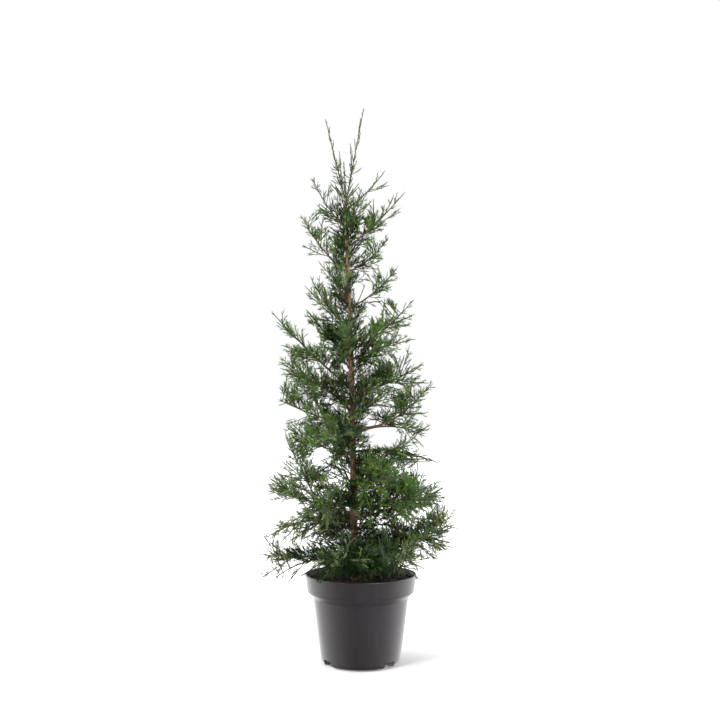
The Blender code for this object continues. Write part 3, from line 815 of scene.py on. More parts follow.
def make_surround(scene):
    """A world that is white to the camera, dimmer for what it lights, and its own for what mirrors it."""
    world = bpy.data.worlds.new("studio")
    world.use_nodes = True
    scene.world = world
    tree = world.node_tree
    facing = add(tree, "TexCoord", {})["Generated"]
    facing = add(tree, "SeparateXYZ", {0: facing})
    path = add(tree, "LightPath", {})
    room = ramp(tree, facing["Y"], ROOM_SPAN, (ROOM_LIGHT, BACKDROP_LIGHT))
    glare = ramp(tree, facing["Y"], MIRRORED_SPAN, (MIRRORED_FRONT, MIRRORED_BACK))
    below = ramp(tree, facing["Z"], MIRRORED_FLOOR_SPAN, (MIRRORED_FLOOR, 1))
    lit = add(tree, "Background", {"Color": WHITE, "Strength": room})[0]
    mirrored = add(tree, "Background", {"Color": WHITE, "Strength": product(tree, glare, below)})[0]
    seen = tree.nodes["Background"]
    fill(tree, seen, {"Color": WHITE, "Strength": 1.0})
    glossy = add(tree, "MixShader", {0: path["Is Glossy Ray"], 1: lit, 2: mirrored})[0]
    mixed = add(tree, "MixShader", {0: path["Is Camera Ray"], 1: glossy, 2: seen.outputs[0]})[0]
    fill(tree, tree.nodes["World Output"], {"Surface": mixed})


def softbox(scene, name, place, size, power, mirrored):
    light = bpy.data.lights.new(name, "AREA")
    light.shape = "DISK"
    light.size = size
    light.energy = power
    light.specular_factor = mirrored
    lamp = bpy.data.objects.new(name, light)
    lamp.location = place
    aim = LAMP_AIM - Vector(place)
    lamp.rotation_euler = aim.to_track_quat("-Z", "Y").to_euler()
    scene.collection.objects.link(lamp)


# Pot


def arc(centre, radius, first, last, steps):
    """Points (radius, height) on an arc about a centre, by angles in degrees."""
    angles = [math.radians(first + (last - first) * step / steps) for step in range(steps + 1)]
    return [(centre[0] + radius * math.cos(a), centre[1] + radius * math.sin(a)) for a in angles]


def inner_radius(height):
    """The radius of the body's inner wall at a height."""
    top = POT_HEIGHT - BAND_HEIGHT - BAND_STEP_HEIGHT
    share = (height - CORNER_HEIGHT) / (top - CORNER_HEIGHT)
    return BODY_FOOT_RADIUS + (BODY_TOP_RADIUS - BODY_FOOT_RADIUS) * share - WALL


def band_radius(height):
    """The radius of the band's inner wall at a height."""
    share = (height - (POT_HEIGHT - BAND_HEIGHT)) / BAND_HEIGHT
    return BAND_FOOT_RADIUS + (RIM_RADIUS - BAND_FOOT_RADIUS) * share - WALL


def pot_profile():
    """The pot's outer wall from its underside up, over the lip and down inside to its floor."""
    band_foot = POT_HEIGHT - BAND_HEIGHT
    step_foot = band_foot - BAND_STEP_HEIGHT
    lip_foot = POT_HEIGHT - LIP_HEIGHT
    corner = BODY_FOOT_RADIUS - UNDERSIDE_RADIUS
    lip = LIP_HEIGHT / 2
    step = BAND_FOOT_RADIUS - BODY_TOP_RADIUS
    return [
        (UNDERSIDE_RADIUS, 0),
        *((UNDERSIDE_RADIUS + out * corner, up * CORNER_HEIGHT) for out, up in CORNER_CURL),
        (BODY_FOOT_RADIUS, CORNER_HEIGHT),
        (BODY_TOP_RADIUS - BODY_TOP_EASE[0], step_foot - BODY_TOP_EASE[1]),
        *((BAND_FOOT_RADIUS - inward * step, band_foot - down * BAND_STEP_HEIGHT)
          for inward, down in reversed(BAND_CURL)),
        (RIM_RADIUS - LIP_ROUND - LIP_FOOT[0], lip_foot - LIP_FOOT[1]),
        (RIM_RADIUS - LIP_ROUND, lip_foot),
        *arc((RIM_RADIUS - lip, POT_HEIGHT - lip), lip, *LIP_ARC),
        (RIM_RADIUS - WALL, POT_HEIGHT - LIP_INSIDE),
        (RIM_RADIUS - WALL - LIP_INNER_FOOT[0], POT_HEIGHT - LIP_INNER_FOOT[1]),
        (band_radius(band_foot), band_foot),
        (inner_radius(step_foot), step_foot),
        (inner_radius(INNER_SLOPE_TOP), INNER_SLOPE_TOP),
        (INNER_FLOOR_RADIUS, POT_FLOOR),
    ]


def turned_piece(name, profile, sides):
    """A disc drawn up and out in edit mode along (radius, height) steps; its last face closes it."""
    radius, height = profile[0]
    piece = new_disc(name, sides, radius, (0, 0, height))
    edit_all(piece)
    for wider, higher in profile[1:]:
        ratio = wider / radius
        draw_out((0, 0, higher - height), (ratio, ratio, 1), (0, 0, higher))
        radius, height = wider, higher
    bpy.ops.mesh.select_all(action="DESELECT")
    bpy.ops.mesh.select_mode(type="EDGE")
    bpy.ops.mesh.select_non_manifold()
    bpy.ops.mesh.edge_face_add()
    bpy.ops.mesh.select_mode(type="VERT")
    bpy.ops.mesh.select_all(action="SELECT")
    bpy.ops.mesh.normals_make_consistent(inside=False)
    leave_edit()
    return piece


def notch_block(turn):
    """A block, wider at its foot, for one drainage notch in the pot's lower edge."""
    deselect()
    bpy.ops.mesh.primitive_cube_add(size=1)
    block = bpy.context.object
    block.scale = (NOTCH_DEPTH, NOTCH_WIDTH, 2 * NOTCH_HEIGHT)
    block.location = (NOTCH_INNER_RADIUS + NOTCH_DEPTH / 2, 0, 0)
    settle(block)
    for corner in block.data.vertices:
        corner.co.y *= 1 - NOTCH_FLARE if corner.co.z > 0 else 1 + NOTCH_FLARE
    edit_all(block)
    bpy.ops.mesh.bevel(offset=NOTCH_ROUND, segments=3, affect="EDGES")
    leave_edit()
    block.rotation_euler.z = math.radians(turn)
    settle(block)
    return block


def make_pot():
    pot = turned_piece("pot_shell", pot_profile(), POT_SIDES)
    blocks = [notch_block(turn) for turn in NOTCH_TURNS]
    for block in blocks:
        cut = pot.modifiers.new("notch", "BOOLEAN")
        cut.operation = "DIFFERENCE"
        cut.object = block
    apply_all(pot)
    for block in blocks:
        bpy.data.objects.remove(block)
    pick(pot)
    bpy.ops.object.shade_smooth_by_angle(angle=math.radians(POT_SMOOTH_ANGLE))
    finish_piece(pot, [surface("pot_plastic", PLASTIC, PLASTIC_SHEEN)], ["pot"])


# Soil


def make_soil():
    """The peat's uneven top, drawn in rings from the pot's wall to the trunk, and loose crumbs."""
    edge = band_radius(SOIL_TOP) - SOIL_WALL_GAP
    rows = [(edge - inward, SOIL_TOP - down) for inward, down in SOIL_EDGE]
    rows += [(edge * (1 - ring / SOIL_RINGS), SOIL_TOP - SOIL_SINK) for ring in range(SOIL_RINGS)]
    soil = turned_piece("peat_top", rows, SOIL_SIDES)
    edit_all(soil)
    bpy.ops.mesh.quads_convert_to_tris()
    leave_edit()
    top = soil.vertex_groups.new(name="top")
    for point in soil.data.vertices:
        inward = edge - math.hypot(point.co.x, point.co.y)
        if point.co.z > SOIL_TOP - LUMPS_FADE:
            top.add([point.index], min(1.0, inward / LUMPS_FADE + LUMPS_LEAST), "REPLACE")
    for size, depth in LUMPS:
        cloud_relief(soil, "lumps", size, depth, LUMPS_LEVEL, vertex_group="top", direction="Z")
    apply_all(soil)
    bpy.ops.object.shade_smooth()
    finish_piece(soil, [surface("peat", PEAT)], ["soil"])
    make_crumbs(soil)


def crumb_shape(number):
    """One modelled lump of peat as (points, triangles)."""
    deselect()
    bpy.ops.mesh.primitive_ico_sphere_add(subdivisions=1, radius=1)
    lump = bpy.context.object
    edit_all(lump)
    bpy.ops.transform.vertex_random(offset=CRUMB_OFFSET, uniform=CRUMB_SWELL, seed=number)
    bpy.ops.transform.resize(value=CRUMB_FORM)
    leave_edit()
    return taken_arrays(lump)


def make_crumbs(soil):
    """Crumbs and shreds of peat, each one of a few modelled lumps, strewn over the soil's top."""
    dice = np.random.default_rng(CRUMB_SEED)
    out = (band_radius(SOIL_TOP) - CRUMB_EDGE_GAP) * np.sqrt(dice.random(CRUMBS))
    turn = dice.random(CRUMBS) * 2 * math.pi
    size = CRUMB_SIZES[0] + CRUMB_SIZES[1] * dice.random(CRUMBS) ** 3
    places = np.stack([out * np.cos(turn), out * np.sin(turn), np.zeros(CRUMBS)], 1)
    for place, lift in zip(places, size):
        hit, point, _, _ = soil.ray_cast((place[0], place[1], ABOVE_POT), (0, 0, -1))
        place[2] = (point.z if hit else SOIL_TOP) + CRUMB_LIFT * lift
    parts = []
    for kind in range(CRUMB_KINDS):
        shape, sides = crumb_shape(kind)
        mine = np.arange(CRUMBS) % CRUMB_KINDS == kind
        copies = int(mine.sum())
        moved = np.einsum("kij,nj->kni", random_turns(copies, dice), shape) * size[mine][:, None, None]
        moved += places[mine][:, None]
        parts.append((moved.reshape(-1, 3), copied_faces(sides, copies, len(shape))))
        # These draws are passed over, so that the ones after them stay as they are
        dice.random(copies)
    crumbs = array_piece("peat_crumbs", *merged(parts))
    finish_piece(crumbs, [surface("crumb_dark", PEAT)], [])


def random_turns(count, dice):
    """Random rotation matrices."""
    matrices, _ = np.linalg.qr(dice.normal(size=(count, 3, 3)))
    matrices[np.linalg.det(matrices) < 0, 0] *= -1
    return matrices


def taken_arrays(thing):
    """A modelled mesh as (points, triangles); its object is removed."""
    settle(thing)
    edit_all(thing)
    bpy.ops.mesh.quads_convert_to_tris()
    leave_edit()
    points = np.zeros(len(thing.data.vertices) * 3)
    thing.data.vertices.foreach_get("co", points)
    faces = np.array([tuple(face.vertices) for face in thing.data.polygons])
    bpy.data.objects.remove(thing)
    return points.reshape(-1, 3), faces


def copied_faces(faces, copies, points_each):
    """The faces of many copies of one mesh whose points follow one another."""
    first = np.arange(copies) * points_each
    return (faces[None] + first[:, None, None]).reshape(-1, 3)


def merged(parts):
    """Several pairs of (points, faces) as one, with the faces' numbers counted on."""
    points, faces = zip(*parts)
    firsts = np.cumsum([0, *map(len, points[:-1])])
    faces = [some + first for some, first in zip(faces, firsts)]
    return np.concatenate(points), np.concatenate(faces)


def array_piece(name, points, faces):
    """One smooth mesh of triangles from arrays."""
    mesh = bpy.data.meshes.new(name)
    mesh.vertices.add(len(points))
    mesh.vertices.foreach_set("co", points.astype(np.float32).ravel())
    mesh.loops.add(faces.size)
    mesh.loops.foreach_set("vertex_index", faces.astype(np.int32).ravel())
    mesh.polygons.add(len(faces))
    mesh.polygons.foreach_set("loop_start", np.arange(0, faces.size, 3, dtype=np.int32))
    mesh.polygons.foreach_set("use_smooth", np.ones(len(faces), dtype=bool))
    piece = bpy.data.objects.new(name, mesh)
    bpy.context.scene.collection.objects.link(piece)
    mesh.update(calc_edges=True)
    mesh.validate()
    return piece


# Trunk and boughs


def trunk_point(height):
    """The trunk's centre at one height or at an array of heights."""
    share = (height - TRUNK_FOOT) / (TRUNK_TOP - TRUNK_FOOT)
    x = TRUNK_FOOT_X + TRUNK_LEAN * share + TRUNK_BOW * np.sin(math.pi * share)
    y = TRUNK_WAVE * np.sin(2 * math.pi * share)
    return np.stack([x, y, height + 0 * share], -1)


def trunk_radius(height):
    share = (height - TRUNK_FOOT) / (TRUNK_TOP - TRUNK_FOOT)
    plain = TRUNK_FOOT_RADIUS + (TRUNK_TOP_RADIUS - TRUNK_FOOT_RADIUS) * share
    return plain + FLARE * np.exp(-(height - TRUNK_FOOT) / FLARE_HEIGHT)


def limb_radius(bough, share):
    return LIMB_LEAST_RADIUS + LIMB_GROWTH * bough.reach * (1 - share) ** LIMB_TAPER


def bark_relief(thing, name, size, stretch, depth):
    """Pushes the surface in and out by clouds drawn out along Z, as plates and strips of bark."""
    space = bpy.data.objects.new("bark_space", None)
    space.scale = (1, 1, stretch)
    bpy.context.scene.collection.objects.link(space)
    cloud_relief(thing, name, size, depth, 0.5, texture_coords="OBJECT", texture_coords_object=space)
    apply_all(thing)
    bpy.data.objects.remove(space)


def make_trunk():
    """The trunk, drawn up ring by ring from under the soil's top, with plates and fibres of bark."""
    centre = trunk_point(TRUNK_FOOT)
    centre[2] = TRUNK_FOOT - TRUNK_BURIED
    radius = trunk_radius(TRUNK_FOOT)
    trunk = new_disc("trunk_bark", TRUNK_SIDES, radius, tuple(centre))
    edit_all(trunk)
    for ring in range(TRUNK_RINGS + 1):
        height = TRUNK_FOOT + (TRUNK_TOP - TRUNK_FOOT) * (ring / TRUNK_RINGS) ** TRUNK_RING_CROWDING
        place, wide = trunk_point(height), float(trunk_radius(height))
        ratio = wide / radius
        draw_out(tuple(place - centre), (ratio, ratio, 1), tuple(place))
        centre, radius = place, wide
    leave_edit()
    even = trunk.modifiers.new("even", "SUBSURF")
    even.subdivision_type = "SIMPLE"
    even.levels = 1
    even.render_levels = 1
    apply_all(trunk)
    bark_relief(trunk, *BARK_PLATES)
    bark_relief(trunk, *BARK_FIBRES)
    pick(trunk)
    bpy.ops.object.shade_smooth()
    finish_piece(trunk, [surface("bark", BARK)], ["trunk"])


def make_limb(bough):
    """One bough from inside the trunk's bark to its tip, as a tapering curve made a mesh."""
    line = GUIDES[bough.name]
    start, end = Vector(line[0]), Vector(line[-1])
    middle = (start + end) / 2 - Vector(UP) * 2 * bough.sag
    deselect()
    bpy.ops.curve.primitive_bezier_curve_add()
    limb = bpy.context.object
    limb.location = (0, 0, 0)
    curve = limb.data
    curve.resolution_u = LIMB_STEPS
    curve.bevel_depth = 1.0
    curve.bevel_resolution = 2
    first, last = curve.splines[0].bezier_points
    for knot, place in ((first, start), (last, end)):
        knot.handle_left_type = "FREE"
        knot.handle_right_type = "FREE"
        knot.co = place
    first.handle_left, first.handle_right = start, start.lerp(middle, 2 / 3)
    last.handle_left, last.handle_right = end.lerp(middle, 2 / 3), end
    first.radius = limb_radius(bough, 0)
    last.radius = LIMB_LEAST_RADIUS
    bpy.ops.object.convert(target="MESH")
    limb = bpy.context.object
    settle(limb)
    return limb


def make_boughs(young_wood):
    """All boughs as one piece, with young bark on their outer parts; the older bark is darker, partly as
    painted shade.
    """
    limbs = [make_limb(bough) for bough in BOUGHS]
    young = []
    for bough, limb in zip(BOUGHS, limbs):
        start = Vector(GUIDES[bough.name][0])
        far = YOUNG_LEADER_FROM if bough in LEADERS else YOUNG_FROM * bough.reach
        young += [(face.center - start).length > far for face in limb.data.polygons]
    whole = joined(limbs, "boughs_bark")
    bark_relief(whole, *BOUGH_STRIPS)
    pick(whole)
    bpy.ops.object.shade_smooth()
    bare = ["bough_" + bough.name for bough in BOUGHS if bough.bare]
    finish_piece(whole, [surface("limb_bark", BARK), young_wood], bare)
    whole.data.polygons.foreach_set("material_index", np.array(young, dtype=np.int32))


# Where foliage may grow, by the source's rule


def crown_width(height):
    """How far the crown reaches from the trunk at a height."""
    return CROWN_REACH - CROWN_TAPER * (height - CROWN_FOOT)


def ruled_boughs(side, feet, turns):
    """Boughs towards the show side or the back, as long and as steep as the crown's rule says."""
    found = []
    for number, (foot, turn) in enumerate(zip(feet, turns), 1):
        height = foot - CROWN_FOOT
        tip = foot + CROWN_RISE + CROWN_RISE_GROWTH * height
        girth = CROWN_GIRTH - CROWN_GIRTH_TAPER * height
        name = f"{side}_{number:02d}"
        found.append(Bough(name, foot, turn, crown_width(foot), tip, CROWN_SAG, 0.0, girth))
    return found


def guide(bough):
    """The bough's centre line from the trunk's heart to its tip."""
    start = trunk_point(bough.foot)
    turn = math.radians(bough.turn)
    end = start + np.array((math.cos(turn), math.sin(turn), 0)) * bough.reach
    end[2] = bough.tip
    middle = (start + end) / 2 - UP * 2 * bough.sag
    t = np.linspace(0, 1, GUIDE_STEPS + 1)[:, None]
    return start * (1 - t) ** 2 + middle * 2 * t * (1 - t) + end * t**2


BOUGHS = [
    *SHOWN_BOUGHS,
    *ruled_boughs("front", FRONT_FEET, FRONT_TURNS),
    *ruled_boughs("back", BACK_FEET, BACK_TURNS),
    *LEADERS,
]
GUIDES = {bough.name: guide(bough) for bough in BOUGHS}
LINES = np.array([GUIDES[bough.name] for bough in BOUGHS])
GIRTHS = np.array([bough.girth for bough in BOUGHS])
WOOD_RADII = np.array([limb_radius(bough, 0) for bough in BOUGHS])
BARE_STEPS = np.array([1 + int(bough.bare * GUIDE_STEPS) for bough in BOUGHS])


def along(line, share):
    """The point and the direction at a share of a centre line."""
    place = share * (len(line) - 1)
    step = min(int(place), len(line) - 2)
    ahead = line[step + 1] - line[step]
    return line[step] + ahead * (place - step), ahead / np.linalg.norm(ahead)


def distances(points):
    """How far each point lies from each step of each bough's centre line."""
    first = LINES[:, :-1]
    step = LINES[:, 1:] - first
    to_point = points[:, None, None] - first
    share = np.clip((to_point * step).sum(-1) / (step * step).sum(-1), 0, 1)
    return np.linalg.norm(to_point - step * share[..., None], axis=-1)


def allowed(points, owners, margin=SPACE_MARGIN):
    """Whether each point lies in its bough's own space, and clear of the wood and the pot."""
    points = np.atleast_2d(points)
    owners = np.broadcast_to(owners, len(points))
    answers = np.zeros(len(points), dtype=bool)
    for start in range(0, len(points), POINTS_AT_ONCE):
        some = slice(start, start + POINTS_AT_ONCE)
        answers[some] = allowed_some(points[some], owners[some], margin)
    return answers


def allowed_some(points, owners, margin):
    """The same for a batch of points that is small enough to test at once."""
    rows = np.arange(len(points))
    steps = distances(points)
    spare = steps.min(-1) - GIRTHS
    mine = spare[rows, owners].copy()
    far = np.linalg.norm(points[:, None] - LINES[:, 0], axis=-1) > NEIGHBOUR_REACH
    spare[far] = np.inf
    spare[rows, owners] = np.inf
    good = spare.min(-1) >= mine + margin
    wood = np.arange(GUIDE_STEPS)[None] < BARE_STEPS[:, None]
    counted = np.broadcast_to(wood, steps.shape).copy()
    own = np.where(BARE_STEPS > 1, BARE_STEPS - 1, 0)[owners]
    counted[rows, owners] = np.arange(GUIDE_STEPS)[None] < own[:, None]
    near = np.where(counted, steps - WOOD_RADII[None, :, None], np.inf).min((-1, -2))
    good &= near > LIMB_MARGIN
    level = np.clip(points[:, 2], TRUNK_FOOT, TRUNK_TOP)
    off_trunk = np.linalg.norm(points - trunk_point(level), axis=-1) >= trunk_radius(level) + LIMB_MARGIN
    good &= off_trunk | (points[:, 2] >= TRUNK_TOP + LIMB_MARGIN)
    out = np.hypot(points[:, 0], points[:, 1])
    lowest = np.where(out > RIM_INSIDE, POT_HEIGHT, SOIL_TOP) + LIMB_MARGIN
    return good & ((out > RIM_RADIUS + LIMB_MARGIN) | (points[:, 2] > lowest))


def nearest_mass(points):
    """The mass in whose space each point lies."""
    return (distances(points).min(-1) - GIRTHS).argmin(-1)


def plume_girth(place):
    """How far side growth reaches at a share of the foliage's length: a plume, widest low down."""
    return (PLUME_FOOT + PLUME_GROWTH * place) * (1 - place) ** PLUME_TAPER


def side_course(ahead, turn, lean, rise):
    """The direction of a side twig that leaves its stem at a turn and a lean, and rises a little."""
    side = np.cross(ahead, UP)
    side /= np.linalg.norm(side)
    out = side * math.cos(turn) + np.cross(side, ahead) * math.sin(turn)
    course = ahead * math.cos(lean) + out * math.sin(lean) + UP * rise
    return course / np.linalg.norm(course)


def sprout(bough, first, place, last):
    """Where a side twig leaves its bough: its root, the stem's course there, its lean and its reach."""
    root, ahead = along(GUIDES[bough.name], first + (1 - first) * place * last)
    lean = math.radians(SPRAY_LEAN - SPRAY_LEAN_DROP * place)
    return root, ahead, lean, bough.girth * plume_girth(place) / math.sin(lean)


def spiral(dice):
    """Turns round a stem for one try after another at a side twig: a spiral with some spread."""
    for number in count(1):
        yield math.radians(number * SPRAY_TURN + SPRAY_TURN_SPREAD * dice.random())


def side_twigs(owner):
    """A mass's side twigs as (root, course, reach): the source's own, and finer ones between them."""
    bough = BOUGHS[owner]
    dice = random.Random(owner)
    turns = spiral(dice)
    size = np.linalg.norm(np.diff(GUIDES[bough.name], axis=0), axis=1).sum()
    first = max(bough.bare, FIRST_SPRAY)
    found = source_twigs(owner, first, size * (1 - first), dice, turns)
    first = LEAFY_FROM.get(bough.name, first)
    return found + fine_twigs(owner, first, size * (1 - first), dice, turns)


def source_twigs(owner, first, length, dice, turns):
    """The side twigs of the source, without those that cross an open gap."""
    bough = BOUGHS[owner]
    found = []
    total = max(FEWEST_SPRAYS, round(length / SPRAY_SPACING))
    for number in range(total):
        place = (number + SPRAY_PLACE + SPRAY_PLACE_SPREAD * dice.random()) / total
        root, ahead, lean, reach = sprout(bough, first, place, LAST_SPRAY)
        # The source draws once more here, for a shape that has no part in this
        dice.random()
        for turn in islice(turns, TURNS_TRIED):
            course = side_course(ahead, turn, lean, SPRAY_RISE)
            points = root + course * reach * TESTED_PARTS
            if not allowed(points, owner).all():
                continue
            if bough.girth < SLIM_GIRTH:
                course = side_course(ahead, turn, lean * SLIM_LEAN, SPRAY_RISE)
            if not in_gap(points, 0.0).any():
                found.append((root, course, reach))
            break
    return found


def fine_twigs(owner, first, length, dice, turns):
    """Finer side twigs all along the foliage, shorter where the first tries are not allowed."""
    bough = BOUGHS[owner]
    slim = bough.girth < SLIM_GIRTH
    fullness = FULLNESS.get(bough.name, 1.0)
    tips_from = TIP_FROM.get(bough.name, TIPS_FROM)
    found = []
    total = round(fullness * length / (SLIM_TWIG_SPACING if slim else FINE_TWIG_SPACING))
    for number in range(total):
        place = (number + dice.random()) / total
        root, ahead, lean, full = sprout(bough, first, place, LAST_FINE_TWIG)
        reach = full * between(FINE_TWIG_REACH, dice.random())
        reach *= min(1.0, fullness + FULL_REACH)
        reach *= 1 - TIP_SLIMNESS * (max(0.0, place - tips_from) / (1 - tips_from))
        if slim:
            lean *= SLIM_LEAN
        for turn in islice(turns, TURNS_TRIED):
            course = side_course(ahead, turn, lean, rise_at(root[2]))
            points = root + course * reach * TESTED_PARTS
            closed = in_gap(points[1:], dice.random()).any() or in_gap(points, 0.0).any()
            if allowed(points, owner, FINE_MARGIN).all() and not closed:
                found.append((root, course, reach))
                break
            reach *= SHORTER
    return found


def rise_at(height):
    """How far fine growth turns upwards: little at the crown's foot, more towards its top."""
    return FINE_RISE + FINE_RISE_GROWTH * (height - CROWN_FOOT)


def shoot_courses(turns, rises):
    """Directions at turns about the vertical and at rises over the level, in radians."""
    level = np.cos(rises)
    return np.stack([np.cos(turns) * level, np.sin(turns) * level, np.sin(rises)], 1)


def inner_shoots(dice):
    """Leafy shoots straight from the trunk between the boughs, closest and flattest at its foot."""
    spread = np.linspace(0, 1, INNER_SHOOTS)
    heights = between(INNER_HEIGHTS, spread**INNER_CROWDING)
    turn_spread = dice.uniform(-INNER_TURN_SPREAD, INNER_TURN_SPREAD, INNER_SHOOTS)
    turns = np.radians(np.arange(INNER_SHOOTS) * SPRAY_TURN + turn_spread)
    rise = between(INNER_RISE, spread) + dice.normal(0, INNER_RISE_SPREAD, INNER_SHOOTS)
    course = shoot_courses(turns, np.radians(np.maximum(rise, INNER_RISE[0])))
    reach = crown_width(heights) * dice.uniform(*INNER_REACH, INNER_SHOOTS)
    inner, top = (trunk_point(heights), course, reach), top_shoots(dice)
    start, course, reach = (np.concatenate(pair) for pair in zip(inner, top))
    middle = start + course * (SHOOT_MIDDLE * reach)[:, None]
    kept = ~in_gap(middle, dice.random(len(start)))
    owner = nearest_mass(middle)
    for tested in TESTED_SHARES:
        kept &= allowed(start + course * (reach * tested)[:, None], owner, ANYWHERE)
    return [(start[n], course[n], reach[n], owner[n]) for n in np.flatnonzero(kept)]


def top_shoots(dice):
    """Short steep shoots round the trunk's upper end and its fork."""
    heights = np.linspace(*TOP_HEIGHTS, TOP_SHOOTS)
    turns = np.radians(np.arange(TOP_SHOOTS) * SPRAY_TURN)
    course = shoot_courses(turns, np.radians(dice.uniform(*TOP_RISE, TOP_SHOOTS)))
    return trunk_point(np.minimum(heights, TRUNK_TOP)), course, dice.uniform(*TOP_REACH, TOP_SHOOTS)


def filling_shoots(dice):
    """Shoots from the nearest stems below into the places that are to be closed, with their owners."""
    roots, masses = [], []
    for owner, bough in enumerate(BOUGHS):
        steps = np.linspace(bough.bare, 1, GUIDE_STEPS * 2)
        roots += [along(GUIDES[bough.name], step)[0] for step in steps]
        masses += [owner] * len(steps)
    roots, masses = np.array(roots), np.array(masses)
    found = []
    places = [(*place, 1.0) for place in FILLS] + [(*place, NEAREST_FRONT_FILL) for place in FRONT_FILLS]
    for left, right, foot, top, shoots, farthest in places:
        aims = dice.uniform((left, -1, foot), (right, farthest, top), (shoots, 3))
        aims[:, 1] *= FILL_DEPTH * crown_width(aims[:, 2])
        for aim in aims:
            ahead = aim - roots
            size = np.linalg.norm(ahead, axis=1)
            rise = LOWEST_FILL_RISE if aim[2] < LOWEST_GROWTH else FILL_RISE
            fit = within(size, *FILL_DISTANCE) & (ahead[:, 2] > rise * size)
            if not fit.any():
                continue
            best = np.where(fit, size, np.inf).argmin()
            if not in_gap(roots[best] + ahead[best] * TESTED_PARTS, 0.0).any():
                found.append((roots[best], ahead[best] / size[best], size[best], masses[best]))
    return found


def fork_whips():
    """Short whips on the leaders."""
    found = []
    names = [bough.name for bough in BOUGHS]
    for name, share, across, height in FORK_WHIPS:
        root = along(GUIDES[name], share)[0]
        ahead = np.array((across, root[1], height)) - root
        size = np.linalg.norm(ahead)
        found.append((root, ahead / size, size, names.index(name)))
    return found


def before_trunk(points):
    """Whether points lie straight in front of the stretches of trunk that show."""
    across = np.abs(points[:, 0] - trunk_point(points[:, 2])[:, 0]) < SHOWN_TRUNK_HALF
    level = np.any([within(points[:, 2], *stretch) for stretch in SHOWN_TRUNK], axis=0)
    return across & level & (points[:, 1] < 0)


def in_gap(points, chances):
    """Whether growth at points falls to one of the gaps through the crown, given a chance for each."""
    lost = np.zeros(len(points), dtype=bool)
    for left, right, foot, top, kept in GAPS:
        inside = within(points[:, 0], left, right) & within(points[:, 2], foot, top)
        lost |= inside & (chances >= kept)
    return lost


# Twiglets and sprays


def make_spray(name, cords, thickness, lean, tilt, cord_lengths):
    """A spray SPRAY_SIZE long along +X: a tapering axis with slim side cords, in a fan or all round."""
    spray = new_disc(name, 3, thickness, (0, 0, 0), "NOTHING", (0, math.pi / 2, 0))
    edit_all(spray)
    half = SPRAY_SIZE * SPRAY_MIDDLE
    draw_out((half, 0, 0), (1, SPRAY_MIDDLE_GIRTH, SPRAY_MIDDLE_GIRTH), (half, 0, 0))
    bpy.ops.mesh.extrude_region_move(TRANSFORM_OT_translate={"value": (SPRAY_SIZE - half, 0, 0)})
    bpy.ops.mesh.merge(type="CENTER")
    leave_edit()
    parts = [spray]
    dice = random.Random(cords)
    for number in range(cords):
        share = FIRST_CORD + CORDS_SHARE * number / cords
        side = 1 if number % 2 else -1
        angle = lean * (CORD_LEAN - CORD_LEAN_DROP * share) + CORD_LEAN_SPREAD * (dice.random() - 0.5)
        angle = math.radians(angle)
        roll = math.radians(tilt) * (2 * dice.random() - 1)
        spread = CORD_REACH_SPREAD[0] + CORD_REACH_SPREAD[1] * dice.random()
        reach = between(cord_lengths, share) * spread
        across = math.sin(angle)
        course = Vector((math.cos(angle), side * across * math.cos(roll), across * math.sin(roll)))
        root = Vector((SPRAY_SIZE * share, 0, 0))
        bpy.ops.mesh.primitive_cone_add(
            vertices=3,
            radius1=thickness * CORD_GIRTH,
            radius2=0,
            depth=reach,
            end_fill_type="NOTHING",
            location=root + course * reach / 2,
            rotation=course.to_track_quat("Z", "Y").to_euler(),
        )
        parts.append(bpy.context.object)
    return taken_arrays(joined(parts, name))


Twigs = namedtuple("Twigs", "starts courses reaches curls owners")


def chosen(twigs, which):
    return Twigs(*(column[which] for column in twigs))


def together(*groups):
    return Twigs(*(np.concatenate(columns) for columns in zip(*groups)))


def curved(twigs, share):
    """Points at a share of twigs that start along their courses and curl upwards."""
    straight = twigs.courses * (twigs.reaches * share)[:, None]
    return twigs.starts + straight + (twigs.curls * twigs.reaches * share**2)[:, None] * UP


def unit(arrows):
    return arrows / np.linalg.norm(arrows, axis=1)[:, None]


def is_slim(twigs):
    """Which twigs belong to slim masses, such as the leaders."""
    return (GIRTHS < SLIM_GIRTH)[twigs.owners]


def branch(twigs, spacing, fewest, shares, leans, rise, dice):
    """Where side shoots leave twigs: (parent, share, start, course), alternate and nearly in a fan."""
    counts = np.maximum(fewest, np.round(twigs.reaches / spacing)).astype(int)
    parent = np.repeat(np.arange(len(counts)), counts)
    total = len(parent)
    number = np.arange(total) - np.repeat(np.cumsum(counts) - counts, counts)
    share = shares[0] + (shares[1] - shares[0]) * (number + dice.random(total)) / counts[parent]
    mine = chosen(twigs, parent)
    ahead = unit(mine.courses + (2 * mine.curls * share)[:, None] * UP)
    side = unit(np.cross(ahead, UP) + TINY)
    lift = np.cross(side, ahead)
    fan = dice.uniform(0, math.pi, len(counts))[parent]
    turn = fan + math.pi * (number % 2) + dice.normal(0, FAN_SPREAD, total)
    lean = np.radians(dice.uniform(*leans, total))
    out = side * np.cos(turn)[:, None] + lift * np.sin(turn)[:, None]
    lifted = np.broadcast_to(rise, total) if np.ndim(rise) == 0 else rise[parent]
    course = unit(ahead * np.cos(lean)[:, None] + out * np.sin(lean)[:, None] + UP * lifted[:, None])
    return parent, share, curved(mine, share), course


